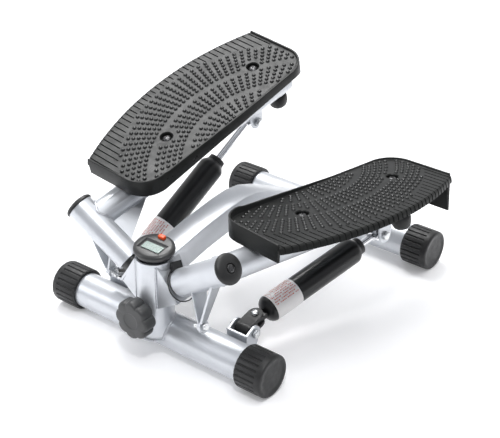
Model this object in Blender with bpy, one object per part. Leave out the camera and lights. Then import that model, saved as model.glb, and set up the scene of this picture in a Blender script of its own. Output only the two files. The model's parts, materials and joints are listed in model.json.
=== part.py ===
"""Mini stepper: two pedals on inclined swivel sleeves, coupled by a cable and damped by two hydraulic cylinders.

Metres, +Z up, +X to the right, the column and its display at -Y. The design frame has its
origin on the floor under the axis of the front base tube, in the plane of symmetry; SHIFT
moves it so that the bounding box is centred on the origin.
"""

import math

import bmesh
import bpy
from mathutils import Matrix, Vector

for old in list(bpy.data.objects):
    bpy.data.objects.remove(old, do_unlink=True)

# ---------------------------------------------------------------- driving dimensions
SHIFT = Vector((-0.024835, -0.18115, 0.0))
GAP = 0.0003

# base frame
CAP_R = 0.0300
RIBS = 24
RIB_HALF = math.radians(4.6)
BASE_Z = CAP_R * math.cos(RIB_HALF)
TUBE_R = 0.0250
TUBE_WALL = 0.0020
REAR_Y = 0.3964
HALF_W = 0.1870
CAP_LEN = 0.0430

# column, pivot bracket, beam
COL_Y = -0.0133
COL_R = 0.0250
COL_TOP = 0.1475
BEAM_HALF = 0.0190
BEAM_H = 0.0370
SCREW_Z = 0.0710

# swivel sleeve axis of the right side (the left one is its mirror image)
AXIS_P = Vector((0.0167, -0.0072, 0.1031))
AXIS_D = Vector((0.8242, -0.0786, 0.5608)).normalized()
SLEEVE_T0 = 0.0357
SLEEVE_T1 = 0.1348
SLEEVE_R = 0.0191
BORE_R = 0.0163
AXLE_R = 0.0095
STEP = math.radians(24.17)

# pedal frame of the right side in its low position: u to the rear, v outwards, w up
PEDAL_P = Vector((0.0558, 0.0475, 0.1913))
PEDAL_YAW = -0.1497
PEDAL_PITCH = -0.0588
PEDAL_ROLL = -0.0867
PEDAL_L = 0.3390
PEDAL_W = 0.1140
BULGE = 0.0350
CORNER_R = 0.0380
FLOOR_T = 0.0035
WALL_T = 0.0030
BOLT_U = (0.0990, 0.2790)
BOLT_V = 0.0588
GROOVES = 36
GROOVE_W = 0.0022
GROOVE_D = 0.0012
RIB_ARC_R = 0.2220
RIB_ARC_V = -0.0850

# arm, in pedal coordinates (v, u, w)
ARM_T = 0.1097
ARM_R = 0.0185
ARM_END = Vector((0.0475, 0.3260, -0.0516))
ROD_PIN = Vector((0.0550, 0.2550, -0.0800))
BUMPER = Vector((0.0500, 0.3120, -0.0710))
CABLE_TIP = Vector((0.0917, -0.0250, 0.0819))

# hydraulic cylinder
FOOT_PIN = Vector((0.1070, 0.0430, 0.0470))
LINK = 0.0240
SHELL_R = 0.0187
SHELL_TOP = 0.1760
ROD_R = 0.0050
ROD_LEN = 0.1840


# ---------------------------------------------------------------- frames
def pedal_matrix():
    rot = (
        Matrix.Rotation(PEDAL_YAW, 4, "Z")
        @ Matrix.Rotation(PEDAL_PITCH, 4, "X")
        @ Matrix.Rotation(PEDAL_ROLL, 4, "Y")
    )
    return Matrix.Translation(PEDAL_P) @ rot


def swing(angle):
    return (
        Matrix.Translation(AXIS_P)
        @ Matrix.Rotation(angle, 4, AXIS_D)
        @ Matrix.Translation(-AXIS_P)
    )


MIRROR = Matrix.Diagonal((-1.0, 1.0, 1.0, 1.0))
PEDAL = pedal_matrix()
SIDES = {"right": Matrix.Identity(4), "left": MIRROR @ swing(STEP)}
STATIC = {"right": Matrix.Identity(4), "left": MIRROR}


# ---------------------------------------------------------------- materials
def material(name, colour, roughness, metallic):
    made = bpy.data.materials.new(name)
    made.use_nodes = True
    shader = made.node_tree.nodes["Principled BSDF"]
    shader.inputs["Base Color"].default_value = (*colour, 1.0)
    shader.inputs["Roughness"].default_value = roughness
    shader.inputs["Metallic"].default_value = metallic
    made.diffuse_color = (*colour, 1.0)
    return made


PAINT = material("silver_paint", (0.62, 0.64, 0.67), 0.35, 0.55)
RUBBER = material("black_rubber", (0.035, 0.036, 0.036), 0.62, 0.0)
PLASTIC = material("pedal_plastic", (0.060, 0.064, 0.062), 0.50, 0.0)
GLOSS = material("cylinder_black", (0.012, 0.013, 0.014), 0.22, 0.0)
CHROME = material("chrome", (0.80, 0.81, 0.82), 0.10, 1.0)
ZINC = material("zinc_steel", (0.66, 0.68, 0.69), 0.28, 1.0)
LABEL = material("label_white", (0.86, 0.84, 0.83), 0.45, 0.0)
LCD = material("lcd_glass", (0.50, 0.58, 0.53), 0.12, 0.0)
ORANGE = material("orange_button", (0.85, 0.16, 0.04), 0.40, 0.0)
HOUSING = material("housing_grey", (0.070, 0.072, 0.074), 0.45, 0.0)
KNOB = material("knob_plastic", (0.090, 0.092, 0.094), 0.50, 0.0)
WIRE = material("wire_black", (0.020, 0.020, 0.022), 0.50, 0.0)
CABLE = material("steel_cable", (0.42, 0.43, 0.44), 0.38, 1.0)
NYLON = material("nylon", (0.10, 0.10, 0.11), 0.45, 0.0)


# ---------------------------------------------------------------- mesh helpers
def add(name, bm, mat, place=None, origin=None, helper=False):
    """One object from a mesh in design coordinates, with its origin at the given point."""
    if place is not None:
        bmesh.ops.transform(bm, matrix=place, verts=bm.verts)
        if place.to_3x3().determinant() < 0:
            bmesh.ops.reverse_faces(bm, faces=bm.faces)
    point = Vector(origin) if origin is not None else Vector((0, 0, 0))
    bmesh.ops.translate(bm, vec=-point, verts=bm.verts)
    bmesh.ops.recalc_face_normals(bm, faces=bm.faces)
    mesh = bpy.data.meshes.new(name)
    bm.to_mesh(mesh)
    bm.free()
    obj = bpy.data.objects.new(name, mesh)
    obj.location = point + SHIFT
    bpy.context.scene.collection.objects.link(obj)
    if helper:
        obj.hide_render = True
        obj.display_type = "WIRE"
    else:
        mesh.materials.append(mat)
        smooth(mesh)
    return obj


def smooth(mesh):
    for poly in mesh.polygons:
        poly.use_smooth = True
    mesh.set_sharp_from_angle(angle=math.radians(32))


def boolean(obj, other, operation):
    other.hide_render = True
    other.display_type = "WIRE"
    mod = obj.modifiers.new(f"{operation.lower()}_{len(obj.modifiers)}", "BOOLEAN")
    mod.operation = operation
    mod.solver = "EXACT"
    mod.object = other
    return obj


def frame_of(axis, ref=None):
    z = Vector(axis).normalized()
    ref = Vector(ref) if ref is not None else (Vector((0, 0, 1)) if abs(z.z) < 0.9 else Vector((0, 1, 0)))
    x = (ref - z * ref.dot(z)).normalized()
    return x, z.cross(x), z


def lathe(profile, point, axis, segments=32, ref=None, bm=None):
    """A closed solid of revolution: (distance along the axis, radius) pairs, starting and ending on the axis."""
    bm = bm or bmesh.new()
    x, y, z = frame_of(axis, ref)
    rings = []
    for s, r in profile:
        centre = Vector(point) + z * s
        if r < 1e-7:
            rings.append([bm.verts.new(centre)])
            continue
        rings.append(
            [
                bm.verts.new(centre + (x * math.cos(a) + y * math.sin(a)) * r)
                for a in (2 * math.pi * i / segments for i in range(segments))
            ]
        )
    for a, b in zip(rings, rings[1:]):
        for i in range(segments):
            j = (i + 1) % segments
            if len(a) == 1 and len(b) == 1:
                continue
            if len(a) == 1:
                bm.faces.new((a[0], b[j], b[i]))
            elif len(b) == 1:
                bm.faces.new((a[i], a[j], b[0]))
            else:
                bm.faces.new((a[i], a[j], b[j], b[i]))
    if len(rings[0]) > 1 and len(rings[-1]) > 1 and profile[0] == profile[-1]:
        pass
    else:
        if len(rings[0]) > 1:
            bm.faces.new(list(reversed(rings[0])))
        if len(rings[-1]) > 1:
            bm.faces.new(rings[-1])
    return bm


def ring_solid(profile, point, axis, segments=32, ref=None, bm=None):
    """A solid of revolution whose profile is a closed loop away from the axis, such as a tube."""
    bm = bm or bmesh.new()
    x, y, z = frame_of(axis, ref)
    rings = [
        [
            bm.verts.new(Vector(point) + z * s + (x * math.cos(a) + y * math.sin(a)) * r)
            for a in (2 * math.pi * i / segments for i in range(segments))
        ]
        for s, r in profile
    ]
    for k, a in enumerate(rings):
        b = rings[(k + 1) % len(rings)]
        for i in range(segments):
            j = (i + 1) % segments
            bm.faces.new((a[i], a[j], b[j], b[i]))
    return bm


def rod(p, q, r, segments=24, ref=None, bm=None):
    p, q = Vector(p), Vector(q)
    return lathe([(0, r), ((q - p).length, r)], p, q - p, segments, ref, bm)


def prism(points, origin, ex, ey, ez, depth, bm=None):
    """A polygon in the ex, ey plane, extruded by depth along ez."""
    bm = bm or bmesh.new()
    origin, ex, ey, ez = (Vector(v) for v in (origin, ex, ey, ez))
    low = [bm.verts.new(origin + ex * a + ey * b) for a, b in points]
    high = [bm.verts.new(v.co + ez * depth) for v in low]
    bm.faces.new(low)
    bm.faces.new(list(reversed(high)))
    for i in range(len(points)):
        j = (i + 1) % len(points)
        bm.faces.new((low[j], low[i], high[i], high[j]))
    return bm


def box(centre, half, rot=None, bm=None):
    bm = bm or bmesh.new()
    rot = rot or Matrix.Identity(3)
    corners = [
        bm.verts.new(Vector(centre) + rot @ Vector((a * half[0], b * half[1], c * half[2])))
        for a in (-1, 1)
        for b in (-1, 1)
        for c in (-1, 1)
    ]
    for ids in ((0, 1, 3, 2), (4, 6, 7, 5), (0, 4, 5, 1), (2, 3, 7, 6), (0, 2, 6, 4), (1, 5, 7, 3)):
        bm.faces.new([corners[i] for i in ids])
    return bm


def helper(name, bm, place=None):
    return add("cut_" + name, bm, None, place, helper=True)


def hex_bolt(point, axis, head_r, head_h, shank_r, shank_len, nut=None, ref=None):
    """A head at the point, its shank running along the axis, and a nut (distance, thickness) on the end."""
    bm = lathe([(0, head_r * 0.86), (head_h * 0.25, head_r), (head_h, head_r), (head_h, shank_r), (shank_len, shank_r)], point, axis, 6, ref)
    if nut:
        bm.free()
        s, t = nut
        bm = lathe(
            [(0, head_r * 0.86), (head_h * 0.25, head_r), (head_h, head_r), (head_h, shank_r), (s, shank_r), (s, head_r), (s + t, head_r), (s + t, shank_r), (shank_len, shank_r)],
            point, axis, 6, ref,
        )
    return bm


def curve_tube(name, points, radius, mat, resolution=2):
    data = bpy.data.curves.new(name, "CURVE")
    data.dimensions = "3D"
    data.bevel_depth = radius
    data.bevel_resolution = resolution
    data.use_fill_caps = True
    spline = data.splines.new("POLY")
    spline.points.add(len(points) - 1)
    for p, q in zip(spline.points, points):
        p.co = (*q, 1.0)
    obj = bpy.data.objects.new(name, data)
    obj.location = SHIFT
    data.materials.append(mat)
    bpy.context.scene.collection.objects.link(obj)
    return obj


def bezier(points, steps):
    """Catmull-Rom through the points."""
    pts = [Vector(p) for p in points]
    pts = [pts[0] * 2 - pts[1]] + pts + [pts[-1] * 2 - pts[-2]]
    out = []
    for i in range(1, len(pts) - 2):
        a, b, c, d = pts[i - 1 : i + 3]
        for k in range(steps):
            t = k / steps
            out.append(
                0.5 * ((2 * b) + (c - a) * t + (2 * a - 5 * b + 4 * c - d) * t * t + (3 * b - a - 3 * c + d) * t**3)
            )
    out.append(pts[-2])
    return out


X, Y, Z = Vector((1, 0, 0)), Vector((0, 1, 0)), Vector((0, 0, 1))


# ---------------------------------------------------------------- base tubes and foot caps
def base_tube(name, y):
    r, inner, half = TUBE_R, TUBE_R - TUBE_WALL, HALF_W - 0.004
    bm = ring_solid([(-half, r), (half, r), (half, inner), (-half, inner)], (0, y, BASE_Z), X, 32)
    return add(name, bm, PAINT)


def foot_cap(name, side, y):
    """A ribbed end cap pushed over the tube, with a smooth end disc and one rib flat on the floor."""
    x0, x1 = HALF_W - CAP_LEN, HALF_W - 0.0030
    outline = []
    for i in range(RIBS):
        mid = -math.pi / 2 + 2 * math.pi * i / RIBS
        half_pitch = math.pi / RIBS
        for a, r in (
            (-RIB_HALF, CAP_R),
            (RIB_HALF, CAP_R),
            (half_pitch, CAP_R - 0.0014),
        ):
            outline.append((r * math.cos(mid + a), r * math.sin(mid + a)))
    bm = prism(outline, (x0, y, BASE_Z), Y, Z, X, x1 - x0)
    cap = add(name, bm, RUBBER, STATIC[side])
    disc = helper(
        name + "_disc",
        lathe([(0, CAP_R - 0.0019), (0.0080, CAP_R - 0.0010), (0.0090, CAP_R - 0.0024)],
              (HALF_W - 0.0090, y, BASE_Z), X, 24),
        STATIC[side],
    )
    boolean(cap, disc, "UNION")
    bore = helper(name + "_bore", rod((x0 - 0.01, y, BASE_Z), (HALF_W - 0.0036, y, BASE_Z), TUBE_R + 0.0004, 32), STATIC[side])
    return boolean(cap, bore, "DIFFERENCE")


base_tube("front_base_tube", 0.0)
base_tube("rear_base_tube", REAR_Y)
for side in ("left", "right"):
    foot_cap(f"foot_cap_front_{side}", side, 0.0)
    foot_cap(f"foot_cap_rear_{side}", side, REAR_Y)

# ---------------------------------------------------------------- column
front_cope = helper("front_cope", rod((-0.12, 0, BASE_Z), (0.12, 0, BASE_Z), TUBE_R + GAP, 32))
rear_cope = helper("rear_cope", rod((-0.12, REAR_Y, BASE_Z), (0.12, REAR_Y, BASE_Z), TUBE_R + GAP, 32))
column = add(
    "front_column",
    ring_solid([(0.035, COL_R), (COL_TOP, COL_R), (COL_TOP, COL_R - 0.0025), (0.035, COL_R - 0.0025)], (0, COL_Y, 0), Z, 32),
    PAINT,
)
boolean(column, front_cope, "DIFFERENCE")
screw_hole = helper("screw_hole", rod((0, -0.05, SCREW_Z), (0, 0.035, SCREW_Z), 0.0058, 20))
boolean(column, screw_hole, "DIFFERENCE")

# pivot brackets: on each side a three-cornered plate from the column's front flank, folded to a flange square to the sleeve axis
P1, P2, P3 = (0.0190, 0.1455), (0.0508, 0.0990), (0.0175, 0.0800)
PLATE_T = 0.0030
PLATE_Y = -0.0302
across = Vector((AXIS_D.x, 0, AXIS_D.z)).normalized()
down = Vector((across.z, 0, -across.x))
flange_c = Vector((P1[0] + P2[0], 0, P1[1] + P2[1])) * 0.5 - across * 0.0017
col_clear = helper("col_clear", rod((0, COL_Y, 0.04), (0, COL_Y, 0.17), COL_R + GAP, 48))
beam_clear = helper("beam_clear", box((0, 0.0230, 0.1300), (BEAM_HALF + GAP, 0.0250, 0.0500)))
for side in ("left", "right"):
    bm = bmesh.new()
    outline = [(0.0120, P1[1] - 0.0030), P1, P2, P3, (0.0120, P3[1])]
    shift = {2: 0.0052}
    front = [bm.verts.new((x, PLATE_Y + shift.get(i, 0.0), z)) for i, (x, z) in enumerate(outline)]
    back = [bm.verts.new((x, PLATE_Y + shift.get(i, 0.0) + PLATE_T, z)) for i, (x, z) in enumerate(outline)]
    for tri in ((0, 1, 3, 4), (1, 2, 3)):
        bm.faces.new([front[i] for i in tri])
        bm.faces.new([back[i] for i in reversed(tri)])
    for i in range(5):
        j = (i + 1) % 5
        bm.faces.new((front[i], back[i], back[j], front[j]))
    bracket = add(f"{side}_pivot_bracket", bm, PAINT, STATIC[side])
    flange = helper(
        f"flange_{side}",
        box(flange_c + Y * -0.0065, (0.0016, 0.0205, 0.0280), Matrix((across, Y, -down)).transposed()),
        STATIC[side],
    )
    boolean(bracket, flange, "UNION")
    boolean(bracket, col_clear, "DIFFERENCE")
    boolean(bracket, beam_clear, "DIFFERENCE")


# ---------------------------------------------------------------- main beam
BEAM_TOP = ((0.0000, 0.1483), (0.0180, 0.1510), (0.0700, 0.1605), (0.1250, 0.1670), (0.1560, 0.1685), (0.1830, 0.1650), (0.2100, 0.1550), (0.2450, 0.1385), (0.3300, 0.0970), (0.3930, 0.0662))
bm = bmesh.new()
rings = []
for i, (y, z) in enumerate(BEAM_TOP):
    a = BEAM_TOP[max(i - 1, 0)]
    b = BEAM_TOP[min(i + 1, len(BEAM_TOP) - 1)]
    run = Vector((0, b[0] - a[0], b[1] - a[1])).normalized()
    if i in (0,):
        run = Vector((0, 1, 0))
    up = Vector((0, -run.z, run.y))
    top = Vector((0, y, z))
    h, c = BEAM_HALF, 0.0055
    section = [(-h, c), (-h + c * 0.3, c * 0.3), (-h + c, 0), (h - c, 0), (h - c * 0.3, c * 0.3), (h, c),
               (h, BEAM_H - c), (h - c * 0.3, BEAM_H - c * 0.3), (h - c, BEAM_H), (-h + c, BEAM_H), (-h + c * 0.3, BEAM_H - c * 0.3), (-h, BEAM_H - c)]
    rings.append([bm.verts.new(top + X * sx - up * sz) for sx, sz in section])
for a, b in zip(rings, rings[1:]):
    for i in range(12):
        j = (i + 1) % 12
        bm.faces.new((a[i], a[j], b[j], b[i]))
bm.faces.new(rings[0])
bm.faces.new(list(reversed(rings[-1])))
beam = add("main_beam", bm, PAINT)
boolean(beam, rear_cope, "DIFFERENCE")
boolean(beam, col_clear, "DIFFERENCE")

# ---------------------------------------------------------------- step display
TILT = math.radians(10)
MON = Vector((0, -0.0110, 0.1525))
mon_up = Vector((0, -math.sin(TILT), math.cos(TILT)))
mon_rear = Vector((0, math.cos(TILT), math.sin(TILT)))
MON_M = Matrix.Translation(MON) @ Matrix((X, mon_rear, mon_up)).transposed().to_4x4() @ Matrix.Diagonal((1.0, 0.86, 1.0, 1.0))
monitor = add(
    "monitor_housing",
    lathe([(-0.0060, 0.0180), (0.0000, 0.0205), (0.0010, 0.0270), (0.0050, 0.0300), (0.0085, 0.0298), (0.0110, 0.0270), (0.0118, 0.0230)], (0, 0, 0), Z, 28),
    HOUSING,
    MON_M,
)
MON_R = Matrix.Translation(MON) @ Matrix((X, mon_rear, mon_up)).transposed().to_4x4()
boolean(monitor, helper("lcd_seat", box((0.0, -0.0025, 0.0130), (0.0165, 0.0072, 0.0035)), MON_R), "DIFFERENCE")
boolean(monitor, helper("button_seat", box((0.0, 0.0170, 0.0110), (0.0056, 0.0036, 0.0050)), MON_R), "DIFFERENCE")
boolean(monitor, helper("monitor_spigot", rod((0, COL_Y, 0.10), (0, COL_Y, COL_TOP + GAP), 0.06, 24)), "DIFFERENCE")
add("monitor_display", box((0.0, -0.0025, 0.0106), (0.0160, 0.0067, 0.0008)), LCD, MON_R)
add("monitor_button", box((0.0, 0.0170, 0.0115), (0.0050, 0.0030, 0.0035)), ORANGE, MON_R, origin=MON_R @ Vector((0, 0.0170, 0.0115)))

# ---------------------------------------------------------------- step sensor and its lead


def around_axis(t, degrees, radius):
    """A point at a distance along the right sleeve axis, turned from its upper side towards the front."""
    up = (Z - AXIS_D * AXIS_D.z).normalized()
    side = AXIS_D.cross(up)
    a = math.radians(degrees)
    return AXIS_P + AXIS_D * t + (up * math.cos(a) + side * math.sin(a)) * radius


SENSOR = around_axis(0.0310, -10, 0.0225)
sensor_up = (SENSOR - around_axis(0.0310, 0, 0.0)).normalized()
sensor = add("step_sensor", box(SENSOR, (0.0045, 0.0075, 0.0065), Matrix((AXIS_D, sensor_up.cross(AXIS_D), sensor_up)).transposed()), NYLON)
boolean(sensor, col_clear, "DIFFERENCE")
LEAD = (
    (0.0310, 17, 0.0215),
    (0.0310, 38, 0.0205),
    (0.0315, 62, 0.0205),
    (0.0320, 90, 0.0215),
    (0.0330, 115, 0.0235),
    (0.0335, 145, 0.0250),
    (0.0330, 180, 0.0250),
    (0.0320, 215, 0.0250),
    (0.0290, 245, 0.0255),
)
wire_points = bezier([around_axis(*spot) for spot in LEAD] + [Vector((0.0330, 0.0190, 0.1080)), Vector((0.0260, 0.0130, 0.1060)), Vector((0.0205, 0.0035, 0.1050))], 2)
curve_tube("sensor_lead", wire_points, 0.0009, WIRE, 2)

# ---------------------------------------------------------------- height adjuster
KNOB_Y0, KNOB_Y1 = -0.0640, -0.0435
LOBES = 8
outline = []
for i in range(LOBES * 6):
    a = 2 * math.pi * i / (LOBES * 6)
    lobe = abs(math.cos(LOBES * a / 2)) ** 0.7
    r = 0.0243 + 0.0040 * lobe
    outline.append((r * math.cos(a), r * math.sin(a)))
knob = prism(outline, (0, KNOB_Y0 + 0.0015, SCREW_Z), X, Z, Y, KNOB_Y1 - KNOB_Y0 - 0.0015)
top = [(0.93 * a, 0.93 * b) for a, b in outline]
knob_obj = add("adjust_knob", knob, KNOB, origin=(0, KNOB_Y0, SCREW_Z))
boolean(knob_obj, helper("knob_face", prism(top, (0, KNOB_Y0, SCREW_Z), X, Z, Y, 0.0060)), "UNION")
boolean(knob_obj, helper("knob_hub", rod((0, KNOB_Y1 - 0.002, SCREW_Z), (0, KNOB_Y1 + 0.0020, SCREW_Z), 0.0120, 24)), "UNION")
boolean(knob_obj, helper("knob_bore", rod((0, KNOB_Y0 + 0.0100, SCREW_Z), (0, KNOB_Y1 + 0.0100, SCREW_Z), 0.0051, 20)), "DIFFERENCE")
add("adjuster_screw", rod((0, KNOB_Y0 + 0.0104, SCREW_Z), (0, 0.0380, SCREW_Z), 0.0048, 20), ZINC, origin=(0, KNOB_Y0, SCREW_Z))
add("adjuster_nut", ring_solid([(0, 0.0095), (0.0007, 0.0108), (0.0026, 0.0108), (0.0026, 0.0053), (0, 0.0053)], (0, -0.0412, SCREW_Z), Y, 12), ZINC)

# pulley carried by the adjuster screw behind the column
PULLEY = Vector((0, 0.0620, SCREW_Z))
PULLEY_R = 0.0220
yoke = add("pulley_yoke", box(PULLEY + Vector((0, -0.0300, 0)), (0.0110, 0.0030, 0.0125)), ZINC, origin=PULLEY)
for k, s in enumerate((-1, 1)):
    boolean(yoke, helper(f"yoke_arm{k}", box(PULLEY + Vector((0, -0.0095, s * 0.0105)), (0.0108, 0.0225, 0.0016))), "UNION")
boolean(yoke, helper("yoke_thread", rod((0, 0.0200, SCREW_Z), (0, 0.0400, SCREW_Z), 0.0051, 20)), "DIFFERENCE")
boolean(yoke, helper("yoke_pin_hole", rod(PULLEY - Z * 0.02, PULLEY + Z * 0.02, 0.0034, 16)), "DIFFERENCE")
add("pulley_pin", hex_bolt(PULLEY + Z * 0.0152, -Z, 0.0058, 0.0030, 0.0030, 0.0300, nut=(0.0275, 0.0020)), ZINC, origin=PULLEY)
add(
    "cable_pulley",
    ring_solid([(-0.0070, PULLEY_R), (-0.0030, PULLEY_R - 0.0038), (0.0030, PULLEY_R - 0.0038), (0.0070, PULLEY_R), (0.0070, 0.0034), (-0.0070, 0.0034)], PULLEY, Z, 24),
    NYLON,
    origin=PULLEY,
)


# ---------------------------------------------------------------- swivel arms
def local(v, u, w):
    return PEDAL @ Vector((v, u, w))


EX, EY, EZ = (PEDAL.to_3x3() @ v for v in (X, Y, Z))
SIDE_SIGN = {"right": 1, "left": -1}
AXIS_REF = AXIS_D.cross(Y)
TIP_AXIS = (AXIS_D + X).normalized()


def axis_point(t):
    return AXIS_P + AXIS_D * t


def strip_plate(top, bottom, wide, w_top, w_bottom, thick, bm=None):
    """A flat plate between two centre points, tapering in width."""
    bm = bm or bmesh.new()
    run = (bottom - top).normalized()
    wide = (Vector(wide) - run * Vector(wide).dot(run)).normalized()
    normal = run.cross(wide).normalized() * (thick / 2)
    quad = [top - wide * w_top, top + wide * w_top, bottom + wide * w_bottom, bottom - wide * w_bottom]
    low = [bm.verts.new(q - normal) for q in quad]
    high = [bm.verts.new(q + normal) for q in quad]
    bm.faces.new(low)
    bm.faces.new(list(reversed(high)))
    for i in range(4):
        j = (i + 1) % 4
        bm.faces.new((low[j], low[i], high[i], high[j]))
    return bm


def swivel_arm(side):
    place, origin = SIDES[side], STATIC[side] @ AXIS_P
    arm = add(f"{side}_arm", rod(axis_point(SLEEVE_T0), axis_point(SLEEVE_T1), SLEEVE_R, 28, AXIS_REF), PAINT, place, origin)
    start, end = axis_point(ARM_T), local(*ARM_END)
    run = (end - start).normalized()
    boolean(arm, helper(f"{side}_arm_tube", rod(start, end, ARM_R, 28), place), "UNION")
    # triangular gusset in the inner corner
    g1, g2 = axis_point(0.0450), start + run * 0.1150
    normal = AXIS_D.cross(run).normalized()
    tri = bmesh.new()
    low = [tri.verts.new(p - normal * 0.0017) for p in (g1, g2, start)]
    high = [tri.verts.new(p + normal * 0.0017) for p in (g1, g2, start)]
    tri.faces.new(low)
    tri.faces.new(list(reversed(high)))
    for i in range(3):
        j = (i + 1) % 3
        tri.faces.new((low[j], low[i], high[i], high[j]))
    boolean(arm, helper(f"{side}_gusset", tri, place), "UNION")
    # cable lug: two plates closing towards the bolt
    lug_w = Vector((0, 1, 0.35))
    for k, (t, off) in enumerate(((0.0620, -0.0014), (0.1030, 0.0014))):
        top = axis_point(t) + down * 0.0120
        low_end = CABLE_TIP + TIP_AXIS * off + Z * 0.0065
        boolean(arm, helper(f"{side}_lug{k}", strip_plate(top, low_end, lug_w, 0.0125, 0.0070, 0.0030), place), "UNION")
    boolean(arm, helper(f"{side}_tongue", rod(CABLE_TIP - TIP_AXIS * 0.0030, CABLE_TIP + TIP_AXIS * 0.0030, 0.0082, 16, Z), place), "UNION")
    # pedal plate and the two webs that carry it
    boolean(arm, helper(f"{side}_web0", box(local(0.0560, 0.0990, -0.0250), (0.0150, 0.0130, 0.0145), PEDAL.to_3x3()), place), "UNION")
    boolean(arm, helper(f"{side}_web1", box(local(0.0520, 0.2790, -0.0280), (0.0150, 0.0130, 0.0175), PEDAL.to_3x3()), place), "UNION")
    boolean(arm, helper(f"{side}_plate", box(local(0.0560, 0.1890, -0.0100), (0.0240, 0.1120, 0.0015), PEDAL.to_3x3()), place), "UNION")
    # rod bracket: two cheeks under the tube
    for k, s in enumerate((-1, 1)):
        outline = [(-0.0150, 0.0330), (0.0150, 0.0330), (0.0115, 0.0)] + [
            (0.0115 * math.cos(a), 0.0115 * math.sin(a)) for a in (-math.radians(30 * i) for i in range(1, 6))
        ] + [(-0.0115, 0.0)]
        origin_c = local(*ROD_PIN) + EX * (s * 0.0130 - 0.0015)
        boolean(arm, helper(f"{side}_cheek{k}", prism(outline, origin_c, EY, EZ, EX, 0.0030), place), "UNION")
    # bumper seat at the rear end
    boolean(arm, helper(f"{side}_seat", rod(local(*BUMPER) + EZ * 0.0008, local(*BUMPER) + EZ * 0.0120, 0.0110, 16), place), "UNION")
    # bore, bolt holes
    boolean(arm, helper(f"{side}_bore", rod(axis_point(SLEEVE_T0 - 0.01), axis_point(SLEEVE_T1 + 0.01), BORE_R, 28, AXIS_REF), place), "DIFFERENCE")
    holes = bmesh.new()
    rod(CABLE_TIP - TIP_AXIS * 0.02, CABLE_TIP + TIP_AXIS * 0.02, 0.0034, 14, bm=holes)
    rod(local(*ROD_PIN) - EX * 0.03, local(*ROD_PIN) + EX * 0.03, 0.0044, 16, bm=holes)
    for u in BOLT_U:
        rod(local(BOLT_V, u, -0.022), local(BOLT_V, u, 0.0), 0.0034, 14, bm=holes)
    boolean(arm, helper(f"{side}_holes", holes, place), "DIFFERENCE")
    smooth(arm.data)

    add(f"{side}_inner_bush",
        ring_solid([(0, 0.0150), (0.0080, 0.0152), (0.0080, BORE_R - GAP), (0.0260, BORE_R - GAP), (0.0260, AXLE_R + GAP), (0, AXLE_R + GAP)],
                   axis_point(SLEEVE_T0 - 0.0083), AXIS_D, 16, AXIS_REF),
        NYLON, place, origin)
    add(f"{side}_sleeve_cap",
        ring_solid([(-0.0180, BORE_R - GAP), (0.0003, BORE_R - GAP), (0.0003, 0.0203), (0.0035, 0.0200), (0.0066, 0.0155), (0.0080, 0.0068),
                    (0.0045, 0.0062), (0.0045, 0.0034), (-0.0180, 0.0034)],
                   axis_point(SLEEVE_T1), AXIS_D, 20, AXIS_REF),
        RUBBER, place, origin)
    add(f"{side}_cap_screw",
        lathe([(-0.0160, 0.0030), (0.0048, 0.0030), (0.0048, 0.0054), (0.0078, 0.0054), (0.0086, 0.0040)],
              axis_point(SLEEVE_T1), AXIS_D, 8, AXIS_REF),
        ZINC, place, origin)
    add(f"{side}_axle", rod(axis_point(0.0268), axis_point(SLEEVE_T1 - 0.0190), AXLE_R, 20, AXIS_REF), ZINC, STATIC[side])
    add(f"{side}_cable_bolt",
        lathe([(0, 0.0044), (0.0008, 0.0052), (0.0040, 0.0052), (0.0040, 0.0030), (0.0107, 0.0030), (0.0107, 0.0054), (0.0147, 0.0054), (0.0147, 0.0043), (0.0200, 0.0043)],
              CABLE_TIP + TIP_AXIS * 0.0075, -TIP_AXIS, 8),
        ZINC, place, origin)
    add(f"{side}_rod_pin",
        hex_bolt(local(*ROD_PIN) + EX * 0.0195, -EX, 0.0068, 0.0045, 0.0040, 0.0400, nut=(0.0345, 0.0045)),
        ZINC, place, origin)
    p = local(*BUMPER)
    add(f"{side}_bumper",
        lathe([(-0.0225, 0.0080), (-0.0180, 0.0128), (-0.0110, 0.0146), (-0.0040, 0.0144), (-0.0003, 0.0126)], p, EZ, 20),
        RUBBER, place, origin)


def pedal_outline(inset):
    """The wall path from the front outer corner round the inner side to the rear outer corner: (u, v, distance share)."""
    r = CORNER_R - inset
    path = [(inset, PEDAL_W), (inset, 0.0860), (inset, 0.0620)]
    for i in range(9):
        a = math.pi + math.pi / 2 * i / 8
        path.append((CORNER_R + r * math.cos(a), CORNER_R + r * math.sin(a)))
    for k in (0.25, 0.5, 0.75):
        path.append((CORNER_R + (PEDAL_L - 2 * CORNER_R) * k, inset))
    for i in range(9):
        a = -math.pi / 2 + math.pi / 2 * i / 8
        path.append((PEDAL_L - CORNER_R + r * math.cos(a), CORNER_R + r * math.sin(a)))
    path += [(PEDAL_L - inset, 0.0620), (PEDAL_L - inset, 0.0860), (PEDAL_L - inset, PEDAL_W)]
    return path


def outer_edge(u):
    rad = ((PEDAL_L / 2) ** 2 + BULGE**2) / (2 * BULGE)
    return PEDAL_W + BULGE - (rad - math.sqrt(rad**2 - (u - PEDAL_L / 2) ** 2))


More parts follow.
